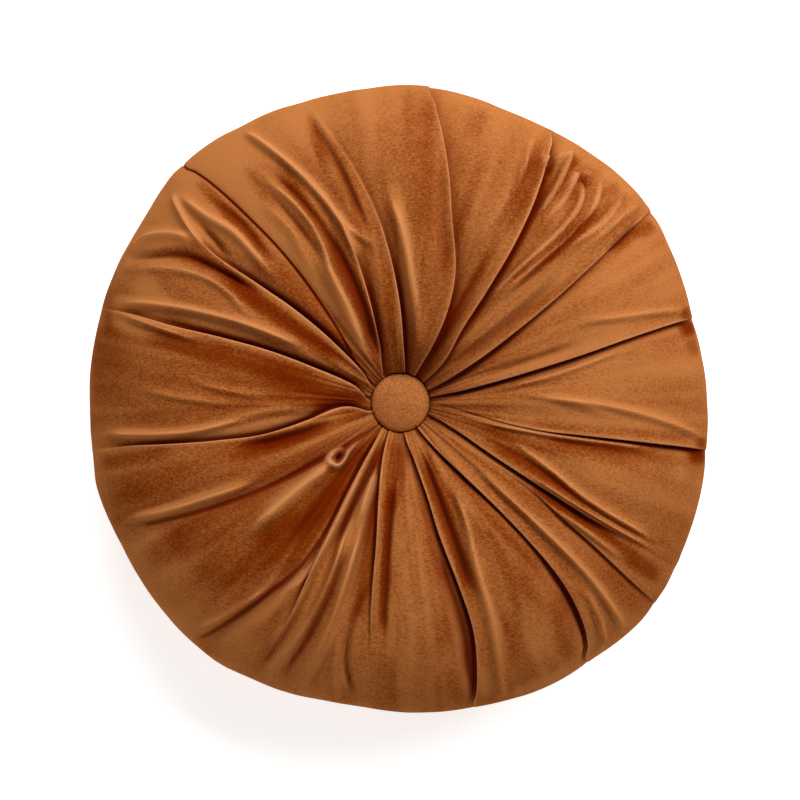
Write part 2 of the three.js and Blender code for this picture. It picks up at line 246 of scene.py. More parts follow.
def velvet(name, look, folded):
    cloth = Shader(name)
    place = cloth.node("ShaderNodeTexCoord").out("Object")
    stretched = cloth.node("ShaderNodeVectorMath", {"operation": "MULTIPLY"},
                           {0: place, 1: look["pile"]["stretch"]}).out("Vector")
    nap = cloth.noise(place, look["nap"]["scale"], 3.0, 0.55, 0.6) - 0.5
    brush = cloth.noise(place, look["brush"]["scale"], 3.0, 0.6, 1.2) - 0.5
    pileHeight = cloth.noise(stretched, look["pile"]["scale"], 2.0, 0.6, 0.5)
    pile = pileHeight - 0.5
    crinkle = cloth.noise(place, look["crinkle"]["scale"], 4.0, 0.55, 0.4)
    tone = nap * look["nap"]["share"] + brush * look["brush"]["share"] + pile * look["pile"]["share"] + 0.5
    if folded:
        hollow = cloth.painted("hollow")
        crest = cloth.painted("crest")
        napAndPaintedLight = cloth.painted("napAndPaintedLight")
        laid = cloth.painted("laid")
        lip = cloth.painted("lipHighlight")
        # Painted shade lowers the tone in the hollows, painted highlight raises it on the crests, and the
        # nap streaks come with marks of painted light and shade.
        tone = tone - hollow * look["hollow"] + crest * look["crest"] + napAndPaintedLight * look["napAndPaintedLight"]
        # Painted light and shade by how far each face is turned towards the key light.
        tone = tone + laid * look["laid"]
    color = cloth.mix(cloth.ramp(tone, *look["toneRange"]), look["dark"], look["light"])
    color = cloth.mix(cloth.ramp(look["deepFrom"] - tone, 0.0, look["deepRange"]), color, look["deep"])
    if folded:
        # Painted shade: the hollows go over to the deep colour.
        shaded = hollow + nap * look["hollowNap"] + pile * look["hollowPile"]
        color = cloth.mix(cloth.ramp(shaded, 0.0, 1.0), color, look["deep"])
        # Painted highlight on the crests, on the side turned towards the key light.
        toLight = cloth.ramp(laid, -0.2, 0.2)
        lit = cloth.ramp(crest * toLight + pile * look["crestPile"], *look["crestRange"])
        color = cloth.mix(lit * look["bright"], color, look["crestHighlight"])
        # Painted highlight along the lip edges.
        color = cloth.mix(lip * look["lipShare"], color, look["lip"])
    relief = cloth.bump(pileHeight, look["pile"])
    relief = cloth.bump(crinkle, look["crinkle"], relief)
    cloth.feed(cloth.surface.inputs["Base Color"], color)
    cloth.feed(cloth.surface.inputs["Normal"], relief)
    cloth.surface.inputs["Roughness"].default_value = look["roughness"]
    cloth.surface.inputs["Specular IOR Level"].default_value = look["specular"]
    cloth.surface.inputs["Specular Tint"].default_value = look["specularTint"]
    cloth.surface.inputs["Sheen Weight"].default_value = look["sheen"]
    cloth.surface.inputs["Sheen Roughness"].default_value = look["sheenRoughness"]
    cloth.surface.inputs["Sheen Tint"].default_value = look["sheenTint"]
    return cloth.material


# The cover

body = {
    "radius": 200.0,
    "crownHeight": 126.0,
    "crownRadius": 100.0,
    "rimHeight": 56.0,
    "frontFullness": 2.1,
    "backFullness": 2.2,
    "restRadius": 132.0,
    "wellEdge": 19.4,
    "wellDepth": 36.0,
    "wellSpread": 24.0,
    "backDepth": 23.0,
    "backSpread": 15.0,
    "flatReach": 185.0,
}
mesh = {
    "frontRows": 104,
    "backRows": 24,
    "edgeColumns": 4,
    "panelColumn": 1.1,
    "dense": 1.4,           # how much closer the rows lie round the small tuck
    "denseAt": 46.0,
    "denseWidth": 14.0,
    "curvePoints": 300,
}
lining = {"radii": (12.0, 17.2, 18.5), "under": 0.4, "above": 1.8}     # the cloth under each button
fold = {
    "halfWidth": 1.5,
    "share": 0.16,
    "lipShare": 0.3,
    "lipTop": 1.6,
    "lipRoll": 2.2,
    "lipRollShare": 0.62,
    "lipReach": 13.0,
    "puffStations": [20, 50, 100, 160, 231],
    "puff": [0.8, 2.4, 2.6, 1.4, 0.4],
    "puffWidth": 34.0,
    "swell": 1.8,
    "overFrom": 0.5,
    "overTo": 1.8,
    "grooveFlank": 0.5,
    "paintedLightTurn": 66.0,      # the turn that the painted light comes from
}
lumps = [
    {"across": 46.0, "start": 20, "high": 1.1, "from": 40.0, "over": 60.0, "seed": 3},
    {"across": 17.0, "start": 40, "high": 0.35, "from": 0.0, "over": 1.0, "seed": 5},
]
gathers = [
    {"turn": 3.0, "reach": 70.0, "high": 0.75, "dies": 90.0, "seed": 7},
    {"turn": 1.8, "reach": 50.0, "high": 0.525, "dies": 60.0, "start": 7, "seed": 17},
]
streaks = [
    {"turn": 1.5, "reach": 45.0, "share": 0.18, "seed": 11},
    {"turn": 4.0, "reach": 60.0, "share": 0.3, "seed": 13},
]
# How the shapes are turned into the hollow, crest and lip line values that the velvet reads: painted shade
# in the hollows, painted highlight on the crests and along the lips.
shade = {
    "fullDepth": 5.0,
    "lipFrom": 0.2,
    "lipSpread": 0.8,
    "grooveFrom": 0.5,
    "crestAt": 0.6,
    "crestHalf": 0.4,
    "lineAt": 0.42,
    "lineHalf": 0.22,
    "lineDepth": 3.0,
    "softDepth": 5.0,
    "softHollow": 0.6,
    "softHeight": 3.2,
    "ringHeight": 3.4,
    "ringFrom": 0.35,
    "ringLine": 0.6,
    "mostHollow": 1.4,
    "mostCrest": 1.2,
}
outline = {
    "turn": [5, 25, 38, 52, 68, 85, 98, 115, 130.5, 147, 165, 180, 196, 211, 229, 245, 260, 275, 290, 306,
             320.5, 333, 346],
    "out": [-5, -4, 0.8, -0.6, -2.4, 2.2, 0.9, 2.6, 5.2, 0.5, 0.5, -2.4, -0.4, -0.6, 3.1, -0.8, -4.1, -1.7,
            0.8, 3.9, 6.6, 2, -0.2],
}

# One row for each pleat: where its edge lies at each turn station, how far the cloth dives under it at each
# deep station, how wide that dive is, how far the lip hangs over, half the breadth of its bend, how strongly
# its lip is painted with highlight and a plain groove with shade, which side lies on top, 0 being a plain
# groove, and its course and depth on the back.
turnStations = [20, 27, 35, 55, 80, 110, 140, 170, 195]
deepStations = [20, 50, 85, 120, 150, 180, 205, 231]
pleats = [
    {"name": "a", "turn": [11.5, 12, 12, 12.9, 14, 15, 15.9, 16.3, 16.3],
     "deep": [2.4, 5.4, 5, 4.6, 4.2, 3.8, 1, 0], "open": 2.2, "over": 0.8, "lean": 1, "backTurn": 9,
     "backDeep": 1.1},
    {"name": "b", "turn": [25.3, 26, 27, 29.4, 31.9, 34, 35.8, 37, 37.5],
     "deep": [2.6, 6, 4, 2.6, 2, 1.8, 1, 0.2], "open": 3, "over": 0.6, "lean": 1, "backTurn": 31,
     "backDeep": 0.8},
    {"name": "c", "turn": [42.3, 42.6, 43.8, 50, 52.4, 54.2, 56.3, 58.8, 60.6],
     "deep": [2, 3.6, 5.2, 5.6, 5.6, 4, 0.6, 0], "open": 3, "over": 0.8, "lean": 1, "backTurn": 47,
     "backDeep": 1},
    {"name": "d", "turn": [62.5, 61.8, 61, 62.3, 66.6, 74, 78.4, 82.2, 84.8],
     "deep": [3, 4.6, 2.6, 2.2, 2, 1.5, 0.9, 0.2], "open": 5, "over": 0.7, "lean": 1, "backTurn": 68,
     "backDeep": 1.2},
    {"name": "e", "turn": [83, 85.5, 87.6, 90.3, 93.4, 97, 101, 105, 107.4],
     "deep": [3, 6.6, 3.2, 1.6, 1, 0.3, 0, 0], "open": 2.4, "over": 0.8, "lean": 1, "backTurn": 84,
     "backDeep": 0.9},
    {"name": "f", "turn": [122.5, 115.5, 110.6, 107.4, 106.8, 107.8, 111.6, 116.6, 119],
     "deep": [2, 5, 2.2, 0, 0, 0, 0, 0], "open": 3.4, "over": 0.7, "lean": 1, "backTurn": 104,
     "backDeep": 1.1},
    {"name": "seam", "turn": [147, 140, 136.8, 130.9, 128.4, 128.1, 129.3, 130.7, 132.4],
     "deep": [0.3, 0.6, 1.2, 1.2, 1.2, 1, 0.8, 0.6], "open": 3.5, "over": 0, "half": 1.1, "line": 1.1,
     "lean": 0, "backTurn": 121, "backDeep": 0.3},
    {"name": "h", "turn": [151, 143.4, 139.9, 138.1, 138.6, 140.4, 141.5, 139.6, 137.6],
     "deep": [2.6, 6, 5, 4, 1.6, 0, 0, 0], "open": 2, "over": 0.8, "half": 1.2, "lean": 1, "backTurn": 137,
     "backDeep": 1},
    {"name": "j", "turn": [176, 162.5, 158.8, 158.1, 158.4, 160, 161.4, 161.8, 162.4],
     "deep": [2.6, 6.2, 5, 4.2, 3, 1, 0, 0], "open": 1.7, "over": 0.8, "half": 1.2, "lean": 1,
     "backTurn": 157, "backDeep": 1.2},
    {"name": "k", "turn": [197, 187.5, 184.6, 190.7, 193.2, 191.8, 190.2, 189, 189],
     "deep": [3.4, 5, 4.4, 3.6, 3, 1, 0, 0], "open": 1.6, "over": 0.8, "half": 1.3, "lean": 1,
     "backTurn": 172, "backDeep": 0.8},
    {"name": "m", "turn": [226, 222.5, 219.8, 215.8, 213.6, 210.8, 208, 205.6, 204],
     "deep": [1.2, 2.2, 2, 1.5, 1.1, 0.3, 0, 0], "open": 5.5, "over": 0, "half": 2, "line": 0.5, "lean": 0,
     "backTurn": 193, "backDeep": 1.1},
    {"name": "p", "turn": [230.3, 232.5, 234.2, 236.8, 239, 238.9, 235, 231.6, 229],
     "deep": [0, 0, 0.2, 1.8, 1.8, 1, 0, 0], "open": 5.5, "over": 0, "half": 2, "line": 0.5, "lean": 0,
     "backTurn": 209, "backDeep": 0.9},
    {"name": "o", "turn": [235, 237.2, 238.2, 239.4, 240.9, 242, 242.6, 242.4, 242],
     "deep": [2.6, 7.4, 6, 3, 0.3, 0, 0, 0], "open": 3, "over": 0.7, "half": 1.2, "line": 0.8, "lean": 1,
     "backTurn": 229, "backDeep": 1.2},
    {"name": "q", "turn": [249.5, 251, 252.8, 257, 260.2, 261.6, 262.6, 263.6, 264.6],
     "deep": [2.6, 4.4, 4.4, 2.6, 0.3, 0, 0, 0], "open": 2, "over": 0.8, "half": 1.3, "lean": 1,
     "backTurn": 245, "backDeep": 1},
    {"name": "r", "turn": [279, 281.6, 284.3, 286.4, 286.7, 287.9, 288, 285.9, 283.8],
     "deep": [2.6, 4, 4.6, 6, 6.8, 4.6, 0.6, 0], "open": 3.4, "over": 0.9, "half": 1.2, "lean": 1,
     "backTurn": 265, "backDeep": 0.8},
    {"name": "s", "turn": [305.9, 307, 308.4, 311.3, 312.9, 313.2, 312.4, 309.7, 306],
     "deep": [2.6, 4.6, 3.6, 3.6, 4.2, 3.6, 0.8, 0], "open": 2.2, "over": 0.9, "half": 1.2, "lean": 1,
     "backTurn": 281, "backDeep": 1.1},
    {"name": "t", "turn": [324, 325, 326, 327.2, 327.2, 325.2, 323.7, 322.4, 321.9],
     "deep": [0, 0, 1, 2.4, 2.2, 1.4, 0.6, 0], "open": 3, "over": 0.5, "lean": 1, "backTurn": 301,
     "backDeep": 1},
    {"name": "u", "turn": [338.4, 336.9, 334.9, 331.6, 329.9, 329.2, 328.8, 328.8, 328.9],
     "deep": [2.6, 4.6, 5.4, 3.4, 0.2, 0, 0, 0], "open": 2.2, "over": 0.8, "lean": 1, "backTurn": 317,
     "backDeep": 1.2},
    {"name": "v", "turn": [347, 346, 344.5, 342, 338.9, 334.2, 331.8, 331.6, 332],
     "deep": [0, 0.4, 0.8, 0.4, 0, 0, 0, 0], "open": 4, "over": 0, "line": 0, "lean": 1, "backTurn": 337,
     "backDeep": 0.8},
    {"name": "w", "turn": [361, 358, 354.3, 350, 349.2, 350.2, 350.9, 351.3, 351.4],
     "deep": [0.6, 1, 2.2, 4, 4.6, 4.4, 1, 0], "open": 2.2, "over": 0.8, "lean": 1, "backTurn": 353,
     "backDeep": 1.1},
]
backFold = {"stations": [20, 50, 100, 150, 231], "depth": [1.6, 4.6, 3.4, 2.2, 0], "lineRadius": 40.0}

# One row for each soft swell between the pleats, or hollow where its height is below zero: its line, as
# places of a turn and a reach, its half breadth on the clockwise and on the anticlockwise side, its height,
# and the length over which its ends fade.
swells = {
    "line before a": ([(8.4, 64), (10.4, 92), (13.4, 132)], 2, 2, 1.5, 12),
    "hollow beyond a": ([(17.6, 52), (17.9, 76), (18, 104)], 2.4, 2.4, -1.3, 12),
    "line at 21": ([(23.4, 120), (21, 143), (18.2, 186)], 1.8, 2, 1.7, 12),
    "hollow beyond b": ([(35, 42), (36, 74), (37.4, 112)], 2.6, 3.4, -1.9, 12),
    "pocket of b": ([(36.2, 154), (36.6, 166), (37, 176)], 2, 1.6, -1.7, 6),
    "ridge beyond b": ([(39.6, 148), (40, 168), (39.8, 190)], 1.8, 1.8, 1.6, 12),
    "arc beyond b": ([(43, 132), (41.6, 158), (43, 184)], 2.4, 2.4, 1.7, 12),
    "hollow before twins": ([(44.2, 100), (43.8, 130), (44.4, 158)], 2, 1.8, -1.8, 12),
    "first twin": ([(46.6, 90), (45.4, 108), (44.6, 128), (44.5, 146), (45.4, 162), (47.7, 178)],
        2.4, 1.9, 2.2, 12),
    "second twin": ([(49, 80), (48.5, 100), (47.3, 124), (47, 142), (47.9, 158), (50.2, 170)],
        1.8, 2.4, 2.3, 12),
    "knot of the twins": ([(49.4, 170), (50.3, 173), (51.6, 175)], 1.7, 1.7, -3, 3),
    "hook of the twins": ([(51.6, 164), (52.2, 171), (50.4, 179)], 1.5, 1.5, 2, 4),
    "lens before c": ([(51.4, 140), (51.2, 156), (53, 174)], 2.2, 2.2, 1.8, 10),
    "line before c": ([(53.6, 138), (54.2, 160), (55.8, 188)], 2, 2, 2.2, 10),
    "hollow of c": ([(57, 166), (57.6, 172), (58.4, 178)], 1.8, 1.8, -3, 4),
    "bracket of c": ([(59.4, 164), (58.6, 172), (56.2, 183)], 1.4, 1.4, 2.4, 4),
    "far bracket of c": ([(59, 166), (60.4, 174), (61, 184)], 1.4, 1.4, 1.5, 4),
    "hollow left of c": ([(57.4, 32), (57.6, 60), (58.8, 96)], 2.6, 2.6, -1.8, 12),
    "ridge before d": ([(64.2, 104), (63, 128), (62.4, 146)], 4, 4, 1.1, 12),
    "line before d": ([(62, 150), (62.6, 166), (63.6, 184)], 1.6, 1.6, 1.8, 8),
    "crease beyond c": ([(60.4, 158), (60.8, 170), (61.4, 188)], 1.8, 1.8, -1.3, 8),
    "hollow of d": ([(71.6, 80), (77, 108), (80, 138)], 3, 3, -1.1, 12),
    "shoulder left of e": ([(75, 38), (84.4, 68), (88, 88), (92.4, 118)], 4.2, 3.2, 2.6, 12),
    "hollow beyond e": ([(101.6, 108), (104.8, 146), (107.6, 178)], 2, 2.6, -2.2, 12),
    "fork of f": ([(100, 96), (104, 101.5), (107.4, 110)], 1.8, 1.8, 2.2, 12),
    "swell along f": ([(107, 92), (108.6, 112), (112.4, 138), (117.6, 170), (119.4, 184)], 3, 2.2, 3, 12),
    "hollow beyond f": ([(114, 34), (111.8, 52), (111.2, 72), (112.6, 94), (114.2, 112)], 3, 3, -2.8, 12),
    "outer hollow beyond f": ([(114.6, 116), (116.4, 132), (119, 152)], 2, 2.2, -1.6, 12),
    "swell at 116": ([(117.4, 88), (116, 108), (117.2, 126), (120.4, 148)], 1.9, 2.4, 2, 12),
    "swell before seam": ([(125.6, 40), (121.4, 50), (119.2, 66), (118.6, 92)], 2.6, 5.4, 3, 12),
    "groove at 120": ([(119.4, 104), (120.4, 122), (122, 142)], 1.8, 1.8, -1.5, 12),
    "swell at 122": ([(123.2, 98), (122.2, 118), (124, 138)], 2, 4, 1.2, 12),
    "hollow before h": ([(132.2, 120), (131.6, 140), (132.8, 158)], 2, 2, -1.4, 12),
    "swell before h": ([(134.8, 110), (134.2, 136), (136.1, 157), (136.8, 174)], 3, 3.2, 2.4, 12),
    "knot of h": ([(140.9, 150), (140.2, 160), (138.8, 174), (137.8, 182)], 2.2, 2.6, 2.4, 5),
    "pocket of h": ([(139.8, 136), (138.9, 146), (138.5, 156)], 1.8, 1.7, -2.2, 6),
    "hollow beyond h": ([(142.8, 112), (143.8, 132), (145.6, 156), (149, 174), (151.6, 188)],
        1.8, 3, -2.6, 12),
    "arch at the rim": ([(142, 154), (143.4, 167), (147.4, 184), (152, 195)], 3, 2.8, 2.4, 8),
    "short swell before j": ([(149.8, 104), (147.4, 118), (147.2, 134), (149, 152), (152.6, 174)],
        2.2, 2.2, 1.6, 12),
    "long swell before j": ([(151, 74), (152.8, 98), (155.4, 126), (160, 174)], 2.4, 2.2, 2.8, 12),
    "outer swell of j": ([(163, 128), (162.7, 150), (162.4, 174)], 1.7, 1.7, 2, 12),
    "mark at 176": ([(177.4, 84), (175.8, 102), (174.2, 122)], 2, 2, 1.1, 12),
    "mark at 179": ([(180.2, 102), (179, 124), (177.4, 148)], 2, 2, 1.1, 12),
    "swell at 183": ([(183.6, 56), (183.4, 74), (185.6, 96)], 3.4, 3, 1.3, 12),
    "swell before k": ([(186.6, 100), (187.8, 118), (187.8, 132), (187.2, 152), (186.2, 175)],
        1.9, 1.7, 2.7, 12),
    "hollow beyond k": ([(197.4, 46), (197.6, 68), (196, 94)], 3, 3.4, -3, 12),
    "swell before m": ([(207.8, 104), (206.3, 126), (205, 150), (203.4, 174)], 1.9, 2, 2.6, 20),
    "swell beyond m": ([(219.6, 58), (219.4, 78), (220.4, 112)], 3, 5, 3, 12),
    "hollow before o": ([(231, 34), (232, 64), (232, 104)], 5, 4.6, -2.2, 12),
    "ridge of p": ([(234.2, 134), (232, 152), (229, 178)], 2, 1.6, 3, 12),
    "panel beyond p": ([(240.4, 114), (238.8, 134), (236.4, 160)], 3.4, 3.6, 2.4, 12),
    "crest of o": ([(240.6, 50), (241.6, 76), (241.8, 104), (240.6, 140)], 2.2, 2.6, 2.2, 12),
    "hollow beyond o": ([(245.4, 32), (245, 56), (245.2, 94)], 1.7, 1.9, -3, 12),
    "first bundle ridge": ([(247, 84), (248, 104), (247.6, 128), (245.8, 158), (244, 184)],
        1.8, 1.8, 2.8, 12),
    "groove of the bundle": ([(249.6, 96), (249.8, 118), (248.6, 150), (246.8, 180)], 1.6, 1.6, -2.6, 10),
    "second bundle ridge": ([(243.4, 118), (242.4, 150), (240.6, 178)], 1.8, 1.8, 2, 12),
    "outer groove": ([(244, 140), (243.6, 158), (242.2, 180)], 1.6, 1.5, -1.8, 8),
    "crest before q": ([(250, 46), (250, 58), (250.2, 74)], 3, 3.4, 3, 12),
    "hollow before q": ([(255, 60), (255.6, 90), (254.8, 124)], 1.8, 1.8, -1.8, 12),
    "third bundle ridge": ([(252.8, 84), (252.4, 132), (250, 182)], 1.9, 1.9, 2.4, 12),
    "groove at 254": ([(254.2, 156), (253.6, 166), (252.4, 182)], 1.7, 1.7, -1.3, 8),
    "fourth bundle ridge": ([(255.4, 144), (256, 166), (257.4, 186)], 2, 2, 2, 12),
    "crease beside q": ([(259.6, 112), (257.8, 130), (257.5, 146), (258.3, 164), (260.4, 182)],
        1.6, 1.5, -2.2, 8),
    "hollow beyond q": ([(264.6, 50), (264.6, 76), (264.9, 98), (265.6, 140)], 1.8, 1.8, -1.8, 12),
    "ridge of the dish": ([(275.4, 38), (275.2, 48), (270.8, 58), (268.4, 68)], 2.4, 2.4, 0.8, 5),
    "dish": ([(267, 26), (267, 38), (267, 48)], 6, 6, -1.4, 5),
    "pocket of r": ([(284.4, 96), (285.6, 140), (284.2, 172)], 4, 1.6, -2, 12),
    "hollow beyond r": ([(292, 36), (291.4, 66), (291, 90), (290.4, 114)], 2.2, 2.4, -2.2, 10),
    "ridge beyond r": ([(301.4, 66), (298, 84), (295, 104), (292.4, 140), (289.9, 172), (288.8, 192)],
        3, 3.2, 2, 12),
    "hollow beyond s": ([(317.2, 58), (316.6, 100), (316.4, 136)], 2.2, 2, -0.4, 20),
    "pocket of s": ([(311.4, 128), (310.6, 150), (308.4, 176)], 5, 2, -1.3, 12),
    "swell beyond s": ([(319, 70), (318.3, 116), (317.2, 150), (314.8, 186)], 1.8, 1.8, 1.9, 12),
    "line at 312": ([(314, 158), (312, 175), (308.8, 194)], 1.4, 1.7, 2.2, 12),
    "ridge of t": ([(325.4, 114), (325.4, 130), (325, 152)], 1.5, 1.5, 1.6, 8),
    "pocket of u": ([(328, 118), (327.6, 132), (326.6, 150)], 2, 2, -0.8, 10),
    "hollow before v": ([(336.6, 58), (334, 90), (331.4, 124), (330.8, 160)], 2, 2, -0.5, 12),
    "ridge of u": ([(330.6, 92), (329.8, 122), (329.8, 164)], 1.5, 1.5, 1.7, 12),
    "swell of v": ([(339.2, 74), (335.8, 96), (332.6, 120), (331.6, 164)], 2, 2.8, 1.9, 12),
    "ridge below w": ([(346.9, 56), (347.9, 90), (348.9, 118), (349.6, 146)], 1.5, 1.3, 2, 12),
    "hollow below w": ([(345.6, 88), (346.9, 116), (348, 148)], 2.2, 1.8, -0.7, 12),
    "line beyond w": ([(361.6, 92), (358.6, 128), (354, 184)], 2, 2, 1.8, 12),
    "second line beyond w": ([(364.4, 72), (360.4, 98), (356.6, 122)], 2, 2, 0.9, 12),
}
